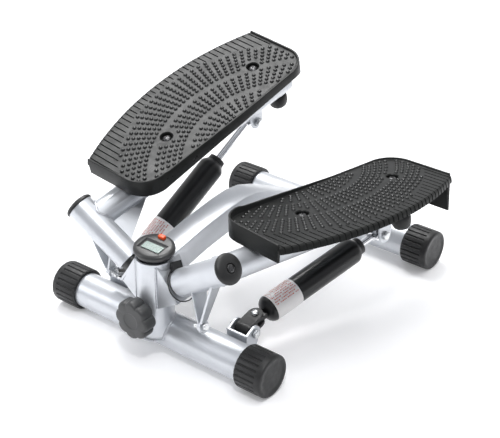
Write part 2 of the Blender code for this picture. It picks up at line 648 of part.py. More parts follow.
def wall_heights(u, v):
    """Lip above the tread and skirt below it."""
    if u > PEDAL_L - 0.0005 and v > CORNER_R - 0.001:
        share = min(1.0, max(0.0, (v - CORNER_R) / 0.040))
        return 0.0030, 0.0300 + 0.0230 * share
    if u < 0.0005 and v > CORNER_R - 0.001:
        share = min(1.0, (v - CORNER_R) / (PEDAL_W - CORNER_R))
        return 0.0095 - 0.0055 * share, 0.0170 + 0.0040 * share
    share = min(1.0, max(0.0, u / (0.64 * PEDAL_L)))
    lip = 0.0105 - 0.0085 * share
    if u < CORNER_R:
        lip = 0.0095 + 0.0010 * u / CORNER_R
    skirt = 0.0165 - 0.0055 * u / PEDAL_L
    if u > PEDAL_L - CORNER_R:
        k = (u - PEDAL_L + CORNER_R) / CORNER_R
        skirt += k * k * (0.0300 - skirt)
        lip += k * 0.0010
    return lip, skirt


def pedal(side):
    place, origin = SIDES[side] @ PEDAL, STATIC[side] @ AXIS_P
    inner, outer = pedal_outline(WALL_T), pedal_outline(0.0)
    bm = bmesh.new()
    rows = []
    for (iu, iv), (ou, ov) in zip(inner, outer):
        lip, skirt = wall_heights(ou, ov)
        rows.append([bm.verts.new((v, u, w)) for u, v, w in ((ou, ov, -skirt), (ou, ov, lip), (iu, iv, lip), (iu, iv, -skirt))])
    for a, b in zip(rows, rows[1:]):
        for i in range(4):
            j = (i + 1) % 4
            bm.faces.new((a[i], a[j], b[j], b[i]))
    bm.faces.new(rows[0])
    bm.faces.new(list(reversed(rows[-1])))
    tread = add(f"{side}_pedal", bm, PLASTIC, place, origin)
    # tread floor
    mid = pedal_outline(WALL_T / 2)
    edge = [(u, outer_edge(u)) for u in (PEDAL_L * (1 - i / 18) for i in range(19))]
    edge[0] = (PEDAL_L - WALL_T / 2, PEDAL_W)
    edge[-1] = (WALL_T / 2, PEDAL_W)
    outline = mid[1:-1] + edge
    floor = helper(f"{side}_floor", prism([(v, u) for u, v in outline], (0, 0, -FLOOR_T), X, Y, Z, FLOOR_T), place)
    boolean(tread, floor, "UNION")
    # rolled outer edge
    section = [(-0.0060, -0.0006), (-0.0008, -0.0005), (0.0034, -0.0088), (0.0012, -0.0090), (-0.0060, -0.0030)]
    roll = bmesh.new()
    rows = []
    for i in range(19):
        u = WALL_T * 0.4 + (PEDAL_L - WALL_T * 0.8) * i / 18
        rows.append([roll.verts.new((outer_edge(u) + a, u, b)) for a, b in section])
    for a, b in zip(rows, rows[1:]):
        for i in range(len(section)):
            j = (i + 1) % len(section)
            roll.faces.new((a[i], a[j], b[j], b[i]))
    roll.faces.new(rows[0])
    roll.faces.new(list(reversed(rows[-1])))
    boolean(tread, helper(f"{side}_roll", roll, place), "UNION")
    # bolt bosses
    bosses = bmesh.new()
    for u in BOLT_U:
        rod((BOLT_V, u, -0.0080), (BOLT_V, u, -0.0010), 0.0130, 16, bm=bosses)
    boolean(tread, helper(f"{side}_bosses", bosses, place), "UNION")
    # recesses, bolt holes and the grooves along the outer edge
    cuts = bmesh.new()
    for u in BOLT_U:
        lathe([(0, 0.0034), (0.0050, 0.0034), (0.0050, 0.0088), (0.0150, 0.0088)], (BOLT_V, u, -0.0102), Z, 16, bm=cuts)
    for i in range(GROOVES):
        u = PEDAL_L * (i + 0.75) / (GROOVES + 0.5)
        v0 = RIB_ARC_V + math.sqrt(RIB_ARC_R**2 - (u - PEDAL_L / 2) ** 2)
        v1 = outer_edge(u) - 0.0030
        if v1 - v0 > 0.004:
            box(((v0 + v1) / 2, u, 0.0), ((v1 - v0) / 2, GROOVE_W / 2, GROOVE_D), bm=cuts)
    boolean(tread, helper(f"{side}_cuts", cuts, place), "DIFFERENCE")
    smooth(tread.data)
    for k, u in enumerate(BOLT_U):
        add(
            f"{side}_pedal_bolt_{('front', 'rear')[k]}",
            lathe([(-0.0150, 0.0030), (-0.0049, 0.0030), (-0.0049, 0.0052), (-0.0014, 0.0052), (-0.0008, 0.0042)],
                  (BOLT_V, u, 0), Z, 8),
            ZINC, place, origin)


# ---------------------------------------------------------------- hydraulic cylinders
def cylinder_pose(side):
    """Pins and directions of one cylinder with its arm where the design frame holds it."""
    foot = STATIC[side] @ FOOT_PIN
    eye = SIDES[side] @ local(*ROD_PIN)
    span = eye - foot
    tilt = math.atan2(span.z, span.y)
    e = Vector((0, math.cos(tilt), math.sin(tilt)))
    n = Vector((0, -math.sin(tilt), math.cos(tilt)))
    elbow = foot + e * LINK
    f = (eye - elbow).normalized()
    return foot, elbow, eye, e, n, f


def cylinder(side):
    foot, elbow, eye, e, n, f = cylinder_pose(side)
    sx = SIDE_SIGN[side]
    # foot bracket: a channel on the back of the front tube
    y0 = TUBE_R + GAP
    bracket = add(f"{side}_cylinder_bracket", box((foot.x, y0 + 0.0015, BASE_Z + 0.0060), (0.0168, 0.0015, 0.0150)), PAINT)
    ears = []
    for k, s in enumerate((-1, 1)):
        outline = [(y0 + 0.0010, BASE_Z - 0.0088), (foot.y + 0.0040, BASE_Z - 0.0020)] + [
            (foot.y + 0.0110 * math.cos(a), foot.z + 0.0110 * math.sin(a)) for a in (math.radians(-30 + 24 * i) for i in range(7))
        ] + [(y0 + 0.0010, BASE_Z + 0.0205)]
        boolean(bracket, helper(f"{side}_ear{k}", prism(outline, (foot.x + s * 0.0153 - 0.0015, 0, 0), Y, Z, X, 0.0030)), "UNION")
    boolean(bracket, helper(f"{side}_ear_hole", rod(foot - X * 0.03, foot + X * 0.03, 0.0044, 16)), "DIFFERENCE")
    add(f"{side}_foot_bolt", hex_bolt(foot + X * sx * 0.0222, -X * sx, 0.0066, 0.0045, 0.0040, 0.0450, nut=(0.0395, 0.0045)), ZINC)

    # clevis block between the ears
    rot = Matrix((X, e, n)).transposed()
    clevis = add(f"{side}_clevis", box(foot + e * (LINK / 2), (0.0110, LINK / 2, 0.0088), rot), RUBBER, origin=foot)
    boolean(clevis, helper(f"{side}_clevis_a", rod(foot - X * 0.0109, foot + X * 0.0109, 0.0095, 16, n)), "UNION")
    boolean(clevis, helper(f"{side}_clevis_b", rod(elbow - n * 0.0087, elbow + n * 0.0087, 0.0108, 20, e)), "UNION")
    boolean(clevis, helper(f"{side}_clevis_slot", box(elbow + e * 0.0040, (0.0200, 0.0140, 0.0042), rot)), "DIFFERENCE")
    boolean(clevis, helper(f"{side}_clevis_h1", rod(foot - X * 0.03, foot + X * 0.03, 0.0044, 16, n)), "DIFFERENCE")
    boolean(clevis, helper(f"{side}_clevis_h2", rod(elbow - n * 0.02, elbow + n * 0.02, 0.0034, 16, e)), "DIFFERENCE")
    add(f"{side}_clevis_bolt", hex_bolt(elbow + n * 0.0122, -n, 0.0050, 0.0032, 0.0030, 0.0230, nut=(0.0210, 0.0020)), ZINC, origin=foot)

    # barrel with a flat eye at its foot
    side_v = n.cross(f).normalized()
    barrel = add(
        f"{side}_barrel",
        lathe([(0.0128, 0.0070), (0.0150, 0.0100), (0.0180, 0.0160), (0.0235, SHELL_R), (SHELL_TOP - 0.001, SHELL_R),
               (SHELL_TOP + 0.0045, 0.0172), (SHELL_TOP + 0.0100, 0.0128), (SHELL_TOP + 0.0100, 0.0100), (0.0300, 0.0100), (0.0280, 0.0)],
              elbow, f, 28, side_v),
        GLOSS, origin=elbow)
    boolean(barrel, helper(f"{side}_eye", rod(elbow - n * 0.0036, elbow + n * 0.0036, 0.0085, 20, f)), "UNION")
    flat = f.cross(n).normalized()
    boolean(barrel, helper(f"{side}_tang", box(elbow + f * 0.0085, (0.0080, 0.0085, 0.0035), Matrix((flat, f, n)).transposed())), "UNION")
    boolean(barrel, helper(f"{side}_eye_hole", rod(elbow - n * 0.01, elbow + n * 0.01, 0.0034, 16, f)), "DIFFERENCE")
    smooth(barrel.data)
    add(f"{side}_label", ring_solid([(0.0245, SHELL_R + 0.0007), (0.0690, SHELL_R + 0.0007), (0.0690, SHELL_R + 0.0003), (0.0245, SHELL_R + 0.0003)], elbow, f, 28, side_v), LABEL, origin=elbow)
    top = SHELL_TOP + 0.0103
    add(f"{side}_gland",
        ring_solid([(top - 0.0100, 0.0097), (top, 0.0097), (top, 0.0128), (top + 0.0070, 0.0120), (top + 0.0075, ROD_R + GAP), (top - 0.0100, ROD_R + GAP)],
                   elbow, f, 16, side_v),
        RUBBER, origin=elbow)

    # rod with piston and ball eye
    reach = (eye - elbow).length
    foot_s = reach - ROD_LEN
    rod_obj = add(f"{side}_piston_rod",
        lathe([(foot_s, 0.0), (foot_s, 0.0096), (foot_s + 0.0080, 0.0096), (foot_s + 0.0080, ROD_R), (reach - 0.0130, ROD_R), (reach - 0.0120, 0.0068), (reach - 0.0060, 0.0068), (reach - 0.0060, 0.0)],
              elbow, f, 16, side_v),
        CHROME, origin=elbow)
    pin_axis = (SIDES[side].to_3x3() @ EX).normalized()
    eye_axis = (pin_axis - f * pin_axis.dot(f)).normalized()
    boolean(rod_obj, helper(f"{side}_rod_eye", rod(eye - eye_axis * 0.0055, eye + eye_axis * 0.0055, 0.0105, 20, f)), "UNION")
    boolean(rod_obj, helper(f"{side}_rod_hole", rod(eye - eye_axis * 0.02, eye + eye_axis * 0.02, 0.0066, 16, f)), "DIFFERENCE")
    smooth(rod_obj.data)


# ---------------------------------------------------------------- step cable over the pulley
def step_cable():
    tips = [SIDES[s] @ (CABLE_TIP - TIP_AXIS * 0.0100) for s in ("left", "right")]
    r = PULLEY_R - 0.0018
    points = []

    def tangent(tip, sign):
        d = Vector((tip.x - PULLEY.x, tip.y - PULLEY.y))
        a = math.atan2(d.y, d.x)
        b = math.acos(r / d.length)
        return a + sign * b

    a0 = tangent(tips[0], -1)
    a1 = tangent(tips[1], 1)
    while a0 < a1:
        a0 += 2 * math.pi
    arc = [a0 + (a1 - a0) * i / 14 for i in range(15)]
    on = [Vector((PULLEY.x + r * math.cos(a), PULLEY.y + r * math.sin(a), PULLEY.z)) for a in arc]
    ends = []
    for tip, near in ((tips[0], on[0]), (tips[1], on[-1])):
        ends.append(tip + (near - tip).normalized() * 0.0072)
    steps = 2
    first = [ends[0].lerp(on[0], i / steps) for i in range(steps)]
    last = [on[-1].lerp(ends[1], (i + 1) / steps) for i in range(steps)]
    points = first + on + last
    curve_tube("step_cable", points, 0.0015, CABLE, 2)


for side in ("left", "right"):
    swivel_arm(side)
    pedal(side)
    cylinder(side)
step_cable()
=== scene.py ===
"""Mini stepper: looks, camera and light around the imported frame."""

import json
import math

import bmesh
import bpy
from mathutils import Matrix, Vector

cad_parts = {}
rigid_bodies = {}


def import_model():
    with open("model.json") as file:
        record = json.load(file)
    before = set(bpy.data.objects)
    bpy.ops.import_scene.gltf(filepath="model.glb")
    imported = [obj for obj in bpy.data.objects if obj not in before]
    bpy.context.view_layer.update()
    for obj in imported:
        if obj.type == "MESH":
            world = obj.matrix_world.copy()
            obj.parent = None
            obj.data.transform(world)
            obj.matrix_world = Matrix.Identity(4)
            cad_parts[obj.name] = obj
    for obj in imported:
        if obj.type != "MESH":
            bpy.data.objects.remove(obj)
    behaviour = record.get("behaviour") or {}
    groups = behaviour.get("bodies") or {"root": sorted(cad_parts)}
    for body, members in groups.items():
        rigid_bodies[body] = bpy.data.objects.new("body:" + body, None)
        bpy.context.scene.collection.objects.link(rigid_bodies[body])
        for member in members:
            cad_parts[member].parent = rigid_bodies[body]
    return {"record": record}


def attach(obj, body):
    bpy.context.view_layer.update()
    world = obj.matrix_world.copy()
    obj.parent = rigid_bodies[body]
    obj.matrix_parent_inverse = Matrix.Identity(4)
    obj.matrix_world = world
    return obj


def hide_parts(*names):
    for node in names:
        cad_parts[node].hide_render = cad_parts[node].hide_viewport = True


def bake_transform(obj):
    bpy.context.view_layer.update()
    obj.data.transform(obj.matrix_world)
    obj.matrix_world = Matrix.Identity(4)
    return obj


for old in list(bpy.data.objects):
    bpy.data.objects.remove(old, do_unlink=True)

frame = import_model()


def note_size():
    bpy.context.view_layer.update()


note_size()

# ---------------------------------------------------------------- camera
cam_data = bpy.data.cameras.new("camera")
cam = bpy.data.objects.new("camera", cam_data)
bpy.context.scene.collection.objects.link(cam)
bpy.context.scene.camera = cam
cam.location = (0.93942, -1.21083, 1.00298)
look = Vector((-0.05954, 0.05135, 0.08)) - cam.location
cam.rotation_euler = look.to_track_quat("-Z", "Y").to_euler()
cam_data.lens = 90.27
cam_data.sensor_width = 36.0
cam_data.clip_start = 0.05

FINE = 2.5
BODY_OF = {n: b for b, members in frame["record"]["behaviour"]["bodies"].items() for n in members}
SLOT_OF = {s["node"]: s["material_slot"] for s in frame["record"]["subparts"]}
PIECES = {}
HELPERS = []

# ---------------------------------------------------------------- driving dimensions
SHIFT = Vector((-0.024835, -0.18115, 0.0))
GAP = 0.0003

# base frame
CAP_R = 0.0300
RIBS = 24
RIB_HALF = math.radians(4.6)
BASE_Z = CAP_R * math.cos(RIB_HALF)
TUBE_R = 0.0250
TUBE_WALL = 0.0020
REAR_Y = 0.3964
HALF_W = 0.1870
CAP_LEN = 0.0430

# column, pivot bracket, beam
COL_Y = -0.0133
COL_R = 0.0250
COL_TOP = 0.1475
BEAM_HALF = 0.0190
BEAM_H = 0.0370
SCREW_Z = 0.0710

# swivel sleeve axis of the right side (the left one is its mirror image)
AXIS_P = Vector((0.0167, -0.0072, 0.1031))
AXIS_D = Vector((0.8242, -0.0786, 0.5608)).normalized()
SLEEVE_T0 = 0.0357
SLEEVE_T1 = 0.1348
SLEEVE_R = 0.0191
BORE_R = 0.0163
AXLE_R = 0.0095
STEP = math.radians(24.17)

# pedal frame of the right side in its low position: u to the rear, v outwards, w up
PEDAL_P = Vector((0.0558, 0.0475, 0.1913))
PEDAL_YAW = -0.1497
PEDAL_PITCH = -0.0588
PEDAL_ROLL = -0.0867
PEDAL_L = 0.3390
PEDAL_W = 0.1140
BULGE = 0.0350
CORNER_R = 0.0380
FLOOR_T = 0.0035
WALL_T = 0.0030
BOLT_U = (0.0990, 0.2790)
BOLT_V = 0.0588
GROOVES = 36
GROOVE_W = 0.0022
GROOVE_D = 0.0012
RIB_ARC_R = 0.2220
RIB_ARC_V = -0.0850

# arm, in pedal coordinates (v, u, w)
ARM_T = 0.1097
ARM_R = 0.0185
ARM_END = Vector((0.0475, 0.3260, -0.0516))
ROD_PIN = Vector((0.0550, 0.2550, -0.0800))
BUMPER = Vector((0.0500, 0.3120, -0.0710))
CABLE_TIP = Vector((0.0917, -0.0250, 0.0819))

# hydraulic cylinder
FOOT_PIN = Vector((0.1070, 0.0430, 0.0470))
LINK = 0.0240
SHELL_R = 0.0187
SHELL_TOP = 0.1760
ROD_R = 0.0050
ROD_LEN = 0.1840


# ---------------------------------------------------------------- frames
def pedal_matrix():
    rot = (
        Matrix.Rotation(PEDAL_YAW, 4, "Z")
        @ Matrix.Rotation(PEDAL_PITCH, 4, "X")
        @ Matrix.Rotation(PEDAL_ROLL, 4, "Y")
    )
    return Matrix.Translation(PEDAL_P) @ rot


def swing(angle):
    return (
        Matrix.Translation(AXIS_P)
        @ Matrix.Rotation(angle, 4, AXIS_D)
        @ Matrix.Translation(-AXIS_P)
    )


MIRROR = Matrix.Diagonal((-1.0, 1.0, 1.0, 1.0))
PEDAL = pedal_matrix()
SIDES = {"right": Matrix.Identity(4), "left": MIRROR @ swing(STEP)}
STATIC = {"right": Matrix.Identity(4), "left": MIRROR}


# ---------------------------------------------------------------- frames
def pedal_matrix():
    rot = (
        Matrix.Rotation(PEDAL_YAW, 4, "Z")
        @ Matrix.Rotation(PEDAL_PITCH, 4, "X")
        @ Matrix.Rotation(PEDAL_ROLL, 4, "Y")
    )
    return Matrix.Translation(PEDAL_P) @ rot


def swing(angle):
    return (
        Matrix.Translation(AXIS_P)
        @ Matrix.Rotation(angle, 4, AXIS_D)
        @ Matrix.Translation(-AXIS_P)
    )


MIRROR = Matrix.Diagonal((-1.0, 1.0, 1.0, 1.0))
PEDAL = pedal_matrix()
SIDES = {"right": Matrix.Identity(4), "left": MIRROR @ swing(STEP)}
STATIC = {"right": Matrix.Identity(4), "left": MIRROR}


# ---------------------------------------------------------------- materials
class Nodes:
    """A short way to wire shader nodes."""

    def __init__(self, tree):
        self.tree = tree

    def new(self, kind, **props):
        node = self.tree.nodes.new(kind)
        for key, value in props.items():
            setattr(node, key, value)
        return node

    def link(self, a, b):
        self.tree.links.new(a, b)

    def noise(self, coord, scale, detail=4.0, roughness=0.55):
        node = self.new("ShaderNodeTexNoise")
        node.inputs["Scale"].default_value = scale
        node.inputs["Detail"].default_value = detail
        node.inputs["Roughness"].default_value = roughness
        self.link(coord, node.inputs["Vector"])
        return node.outputs["Fac"]

    def spread(self, value, low, high, from_low=0.3, from_high=0.7):
        node = self.new("ShaderNodeMapRange")
        node.inputs["From Min"].default_value = from_low
        node.inputs["From Max"].default_value = from_high
        node.inputs["To Min"].default_value = low
        node.inputs["To Max"].default_value = high
        self.link(value, node.inputs["Value"])
        return node.outputs["Result"]

    def math(self, op, a, b):
        node = self.new("ShaderNodeMath", operation=op)
        for socket, value in zip(node.inputs, (a, b)):
            if isinstance(value, (int, float)):
                socket.default_value = value
            else:
                self.link(value, socket)
        return node.outputs[0]

    def mix(self, factor, a, b):
        node = self.new("ShaderNodeMix", data_type="RGBA")
        for socket, value in ((node.inputs[0], factor), (node.inputs[6], a), (node.inputs[7], b)):
            if isinstance(value, (int, float)):
                socket.default_value = value
            elif isinstance(value, tuple):
                socket.default_value = (*value, 1.0)
            else:
                self.link(value, socket)
        return node.outputs[2]


def surface(name, colour, second, roughness, metallic, mottle=40.0, grain=1500.0, grain_depth=0.00006, rough_spread=0.08,
            coat=0.0, coat_rough=0.1, speck=None, dust=0.0, edge=0.0006, scratches=0.0, specular=0.5):
    """A Principled surface with two mottled colours, fine grain, uneven roughness, rounded edges and a little dust or wear."""
    made = bpy.data.materials.new(name)
    made.use_nodes = True
    n = Nodes(made.node_tree)
    shader = made.node_tree.nodes["Principled BSDF"]
    coord = n.new("ShaderNodeTexCoord").outputs["Object"]
    broad = n.noise(coord, mottle, 5.0)
    fine = n.noise(coord, grain, 3.0)
    shade = n.mix(n.spread(broad, 0.0, 1.0), colour, second)
    if speck:
        flakes = n.noise(coord, speck[0], 1.0, 0.4)
        shade = n.mix(n.spread(flakes, 0.0, speck[1], 0.52, 0.68), shade, tuple(min(1.0, c * speck[2]) for c in colour))
    if dust:
        settled = n.noise(coord, 18.0, 6.0, 0.65)
        geometry = n.new("ShaderNodeNewGeometry")
        split = n.new("ShaderNodeSeparateXYZ")
        n.link(geometry.outputs["Normal"], split.inputs[0])
        up = n.spread(split.outputs["Z"], 0.0, 1.0, 0.2, 1.0)
        shade = n.mix(n.math("MULTIPLY", n.math("MULTIPLY", settled, up), dust), shade, (0.55, 0.54, 0.52))
    n.link(shade, shader.inputs["Base Color"])
    rough = n.spread(n.noise(coord, mottle * 2.3, 4.0), roughness - rough_spread, roughness + rough_spread)
    if scratches:
        stretch = n.new("ShaderNodeMapping")
        stretch.inputs["Scale"].default_value = (1.0, 14.0, 1.0)
        n.link(coord, stretch.inputs["Vector"])
        lines = n.noise(stretch.outputs[0], 260.0, 2.0, 0.6)
        rough = n.math("ADD", rough, n.spread(lines, 0.0, scratches, 0.55, 0.75))
    n.link(rough, shader.inputs["Roughness"])
    shader.inputs["Metallic"].default_value = metallic
    shader.inputs["Coat Weight"].default_value = coat
    shader.inputs["Coat Roughness"].default_value = coat_rough
    shader.inputs["Specular IOR Level"].default_value = specular
    bevel = n.new("ShaderNodeBevel", samples=4)
    bevel.inputs["Radius"].default_value = edge
    bump = n.new("ShaderNodeBump")
    bump.inputs["Strength"].default_value = 1.0
    bump.inputs["Distance"].default_value = grain_depth
    n.link(fine, bump.inputs["Height"])
    n.link(bevel.outputs[0], bump.inputs["Normal"])
    n.link(bump.outputs[0], shader.inputs["Normal"])
    return made


PAINT = surface("paint_silver", (0.53, 0.55, 0.58), (0.58, 0.60, 0.63), 0.38, 0.62, mottle=26.0, grain=1100.0, grain_depth=0.00002, rough_spread=0.05,
                coat=0.30, coat_rough=0.14, speck=(5200.0, 0.30, 1.35), dust=0.03, edge=0.0008)
WELD = surface("weld_silver", (0.54, 0.56, 0.59), (0.44, 0.45, 0.48), 0.34, 0.70, mottle=160.0, grain=900.0, grain_depth=0.0002, rough_spread=0.08, edge=0.0003)
RUBBER = surface("rubber_black", (0.0085, 0.0087, 0.0090), (0.0140, 0.0143, 0.0147), 0.46, 0.0, mottle=60.0, grain=1800.0, grain_depth=0.00004, rough_spread=0.08, dust=0.020, edge=0.0007, specular=0.42)
PLASTIC = surface("plastic_pedal", (0.0078, 0.0085, 0.0081), (0.0115, 0.0124, 0.0118), 0.33, 0.0, mottle=34.0, grain=2600.0, grain_depth=0.00004, rough_spread=0.06,
                  dust=0.012, edge=0.0007, specular=0.20)
NUB = surface("plastic_nub", (0.0060, 0.0066, 0.0063), (0.0088, 0.0095, 0.0091), 0.20, 0.0, mottle=60.0, grain=2600.0, grain_depth=0.00001, rough_spread=0.04, dust=0.008, edge=0.0003, specular=0.50)
GLOSS = surface("black_gloss", (0.0040, 0.0042, 0.0045), (0.0065, 0.0067, 0.0070), 0.33, 0.0, mottle=30.0, grain=1400.0, grain_depth=0.000003, rough_spread=0.03,
                coat=0.10, coat_rough=0.20, dust=0.008, edge=0.0006, specular=0.40)
FORGED = surface("black_forged", (0.008, 0.008, 0.0085), (0.014, 0.014, 0.0145), 0.34, 0.1, mottle=90.0, grain=900.0, grain_depth=0.00010, rough_spread=0.08, edge=0.0010)
CHROME = surface("chrome_rod", (0.80, 0.81, 0.82), (0.74, 0.75, 0.77), 0.10, 1.0, mottle=50.0, grain=2200.0, grain_depth=0.000004, rough_spread=0.03, scratches=0.12, edge=0.0004)
ZINC = surface("zinc_plate", (0.72, 0.73, 0.72), (0.58, 0.60, 0.62), 0.24, 1.0, mottle=180.0, grain=1600.0, grain_depth=0.00002, rough_spread=0.10, scratches=0.10, edge=0.0004)
DARK_BOLT = surface("bolt_dark", (0.060, 0.060, 0.062), (0.100, 0.100, 0.102), 0.26, 0.9, mottle=220.0, grain=1500.0, grain_depth=0.00002, rough_spread=0.08, edge=0.0004)
LABEL = surface("label_film", (0.74, 0.72, 0.715), (0.79, 0.775, 0.77), 0.42, 0.0, mottle=45.0, grain=1200.0, grain_depth=0.00001, rough_spread=0.06, edge=0.0002)
INK = surface("label_ink", (0.52, 0.055, 0.035), (0.58, 0.13, 0.10), 0.45, 0.0, mottle=600.0, grain=1500.0, grain_depth=0.00001, rough_spread=0.05, edge=0.0001)
LCD = surface("lcd", (0.20, 0.27, 0.245), (0.24, 0.31, 0.285), 0.16, 0.0, mottle=70.0, grain=900.0, grain_depth=0.000005, rough_spread=0.04, coat=0.15, coat_rough=0.08, edge=0.0002, specular=0.25)
DIGIT = surface("lcd_digit", (0.05, 0.075, 0.07), (0.07, 0.095, 0.09), 0.30, 0.0, mottle=300.0, grain=900.0, grain_depth=0.000005, rough_spread=0.04, edge=0.0001)
ORANGE = surface("button_orange", (0.84, 0.105, 0.020), (0.78, 0.085, 0.016), 0.38, 0.0, mottle=120.0, grain=1500.0, grain_depth=0.00003, rough_spread=0.06, edge=0.0010)
HOUSING = surface("housing_plastic", (0.018, 0.0185, 0.019), (0.025, 0.0255, 0.026), 0.34, 0.0, mottle=50.0, grain=2200.0, grain_depth=0.00003, rough_spread=0.05, dust=0.02, edge=0.0007)
# near-black sheets standing for shade: painted shade round the LCD in its recess and in the collar slot
SHADE_BLACK = surface("bezel_black", (0.004, 0.004, 0.0045), (0.008, 0.008, 0.0085), 0.30, 0.0, mottle=80.0, grain=1500.0, grain_depth=0.00002, rough_spread=0.05, edge=0.0004)
KNOB = surface("knob_resin", (0.028, 0.029, 0.030), (0.038, 0.039, 0.040), 0.44, 0.0, mottle=40.0, grain=1700.0, grain_depth=0.00006, rough_spread=0.07, dust=0.03, edge=0.0012)
WIRE = surface("wire_jacket", (0.010, 0.0105, 0.011), (0.016, 0.0165, 0.017), 0.42, 0.0, mottle=90.0, grain=1200.0, grain_depth=0.00002, edge=0.0002)
NYLON = surface("nylon_black", (0.012, 0.012, 0.0125), (0.020, 0.020, 0.0205), 0.38, 0.0, mottle=70.0, grain=1600.0, grain_depth=0.00005, edge=0.0006)
CABLE = surface("cable_strand", (0.40, 0.41, 0.42), (0.30, 0.31, 0.32), 0.34, 1.0, mottle=900.0, grain=1400.0, grain_depth=0.00020, rough_spread=0.10, edge=0.0002)


# ---------------------------------------------------------------- mesh helpers
def frame_of(axis, ref=None):
    z = Vector(axis).normalized()
    ref = Vector(ref) if ref is not None else (Vector((0, 0, 1)) if abs(z.z) < 0.9 else Vector((0, 1, 0)))
    x = (ref - z * ref.dot(z)).normalized()
    return x, z.cross(x), z


def rod(p, q, r, segments=24, ref=None, bm=None):
    p, q = Vector(p), Vector(q)
    return lathe([(0, r), ((q - p).length, r)], p, q - p, segments, ref, bm)


def prism(points, origin, ex, ey, ez, depth, bm=None):
    """A polygon in the ex, ey plane, extruded by depth along ez."""
    bm = bm or bmesh.new()
    origin, ex, ey, ez = (Vector(v) for v in (origin, ex, ey, ez))
    low = [bm.verts.new(origin + ex * a + ey * b) for a, b in points]
    high = [bm.verts.new(v.co + ez * depth) for v in low]
    bm.faces.new(low)
    bm.faces.new(list(reversed(high)))
    for i in range(len(points)):
        j = (i + 1) % len(points)
        bm.faces.new((low[j], low[i], high[i], high[j]))
    return bm


def box(centre, half, rot=None, bm=None):
    bm = bm or bmesh.new()
    rot = rot or Matrix.Identity(3)
    corners = [
        bm.verts.new(Vector(centre) + rot @ Vector((a * half[0], b * half[1], c * half[2])))
        for a in (-1, 1)
        for b in (-1, 1)
        for c in (-1, 1)
    ]
    for ids in ((0, 1, 3, 2), (4, 6, 7, 5), (0, 4, 5, 1), (2, 3, 7, 6), (0, 2, 6, 4), (1, 5, 7, 3)):
        bm.faces.new([corners[i] for i in ids])
    return bm


def helper(name, bm, place=None):
    return add("cut_" + name, bm, None, place, helper=True)


def bezier(points, steps):
    """Catmull-Rom through the points."""
    pts = [Vector(p) for p in points]
    pts = [pts[0] * 2 - pts[1]] + pts + [pts[-1] * 2 - pts[-2]]
    out = []
    for i in range(1, len(pts) - 2):
        a, b, c, d = pts[i - 1 : i + 3]
        for k in range(steps):
            t = k / steps
            out.append(
                0.5 * ((2 * b) + (c - a) * t + (2 * a - 5 * b + 4 * c - d) * t * t + (3 * b - a - 3 * c + d) * t**3)
            )
    out.append(pts[-2])
    return out


X, Y, Z = Vector((1, 0, 0)), Vector((0, 1, 0)), Vector((0, 0, 1))




# ---------------------------------------------------------------- pieces of the visual model
def fine(count):
    return int(round(count * FINE))


def smooth(mesh, angle=32):
    for poly in mesh.polygons:
        poly.use_smooth = True
    mesh.set_sharp_from_angle(angle=math.radians(angle))


def mesh_object(name, bm, place=None, origin=None):
    if place is not None:
        bmesh.ops.transform(bm, matrix=place, verts=bm.verts)
        if place.to_3x3().determinant() < 0:
            bmesh.ops.reverse_faces(bm, faces=bm.faces)
    point = Vector(origin) if origin is not None else Vector((0, 0, 0))
    bmesh.ops.translate(bm, vec=-point, verts=bm.verts)
    mesh = bpy.data.meshes.new(name)
    bm.to_mesh(mesh)
    bm.free()
    obj = bpy.data.objects.new(name, mesh)
    obj.location = point + SHIFT
    bpy.context.scene.collection.objects.link(obj)
    return obj


def add(name, bm, mat, place=None, origin=None, helper=False, rides=None):
    """A piece that stands for the CAD node of that name, or an extra one on the body of the node that it rides with."""
    bmesh.ops.recalc_face_normals(bm, faces=bm.faces)
    obj = mesh_object("v_" + name, bm, place, origin)
    if helper:
        HELPERS.append(obj)
        obj.hide_render = True
        return obj
    obj.data.materials.append(mat)
    PIECES[obj.name] = (obj, name if rides is None else None, BODY_OF[rides or name], SLOT_OF[rides or name])
    return obj


def boolean(obj, other, operation):
    mod = obj.modifiers.new(f"{operation.lower()}_{len(obj.modifiers)}", "BOOLEAN")
    mod.operation = operation
    mod.solver = "EXACT"
    mod.object = other
    mod.material_mode = "TRANSFER"
    return obj


def lathe(profile, point, axis, segments=32, ref=None, bm=None):
    bm = bm or bmesh.new()
    segments = fine(segments) if segments > 8 else segments
    x, y, z = frame_of(axis, ref)
    rings = []
    for s, r in profile:
        centre = Vector(point) + z * s
        if r < 1e-7:
            rings.append([bm.verts.new(centre)])
            continue
        rings.append([bm.verts.new(centre + (x * math.cos(a) + y * math.sin(a)) * r) for a in (2 * math.pi * i / segments for i in range(segments))])
    for a, b in zip(rings, rings[1:]):
        for i in range(segments):
            j = (i + 1) % segments
            if len(a) == 1 and len(b) == 1:
                continue
            if len(a) == 1:
                bm.faces.new((a[0], b[j], b[i]))
            elif len(b) == 1:
                bm.faces.new((a[i], a[j], b[0]))
            else:
                bm.faces.new((a[i], a[j], b[j], b[i]))
    if len(rings[0]) > 1:
        bm.faces.new(list(reversed(rings[0])))
    if len(rings[-1]) > 1:
        bm.faces.new(rings[-1])
    return bm


def ring_solid(profile, point, axis, segments=32, ref=None, bm=None):
    bm = bm or bmesh.new()
    segments = fine(segments) if segments > 8 else segments
    x, y, z = frame_of(axis, ref)
    rings = [[bm.verts.new(Vector(point) + z * s + (x * math.cos(a) + y * math.sin(a)) * r) for a in (2 * math.pi * i / segments for i in range(segments))] for s, r in profile]
    for k, a in enumerate(rings):
        b = rings[(k + 1) % len(rings)]
        for i in range(segments):
            j = (i + 1) % segments
            bm.faces.new((a[i], a[j], b[j], b[i]))
    return bm


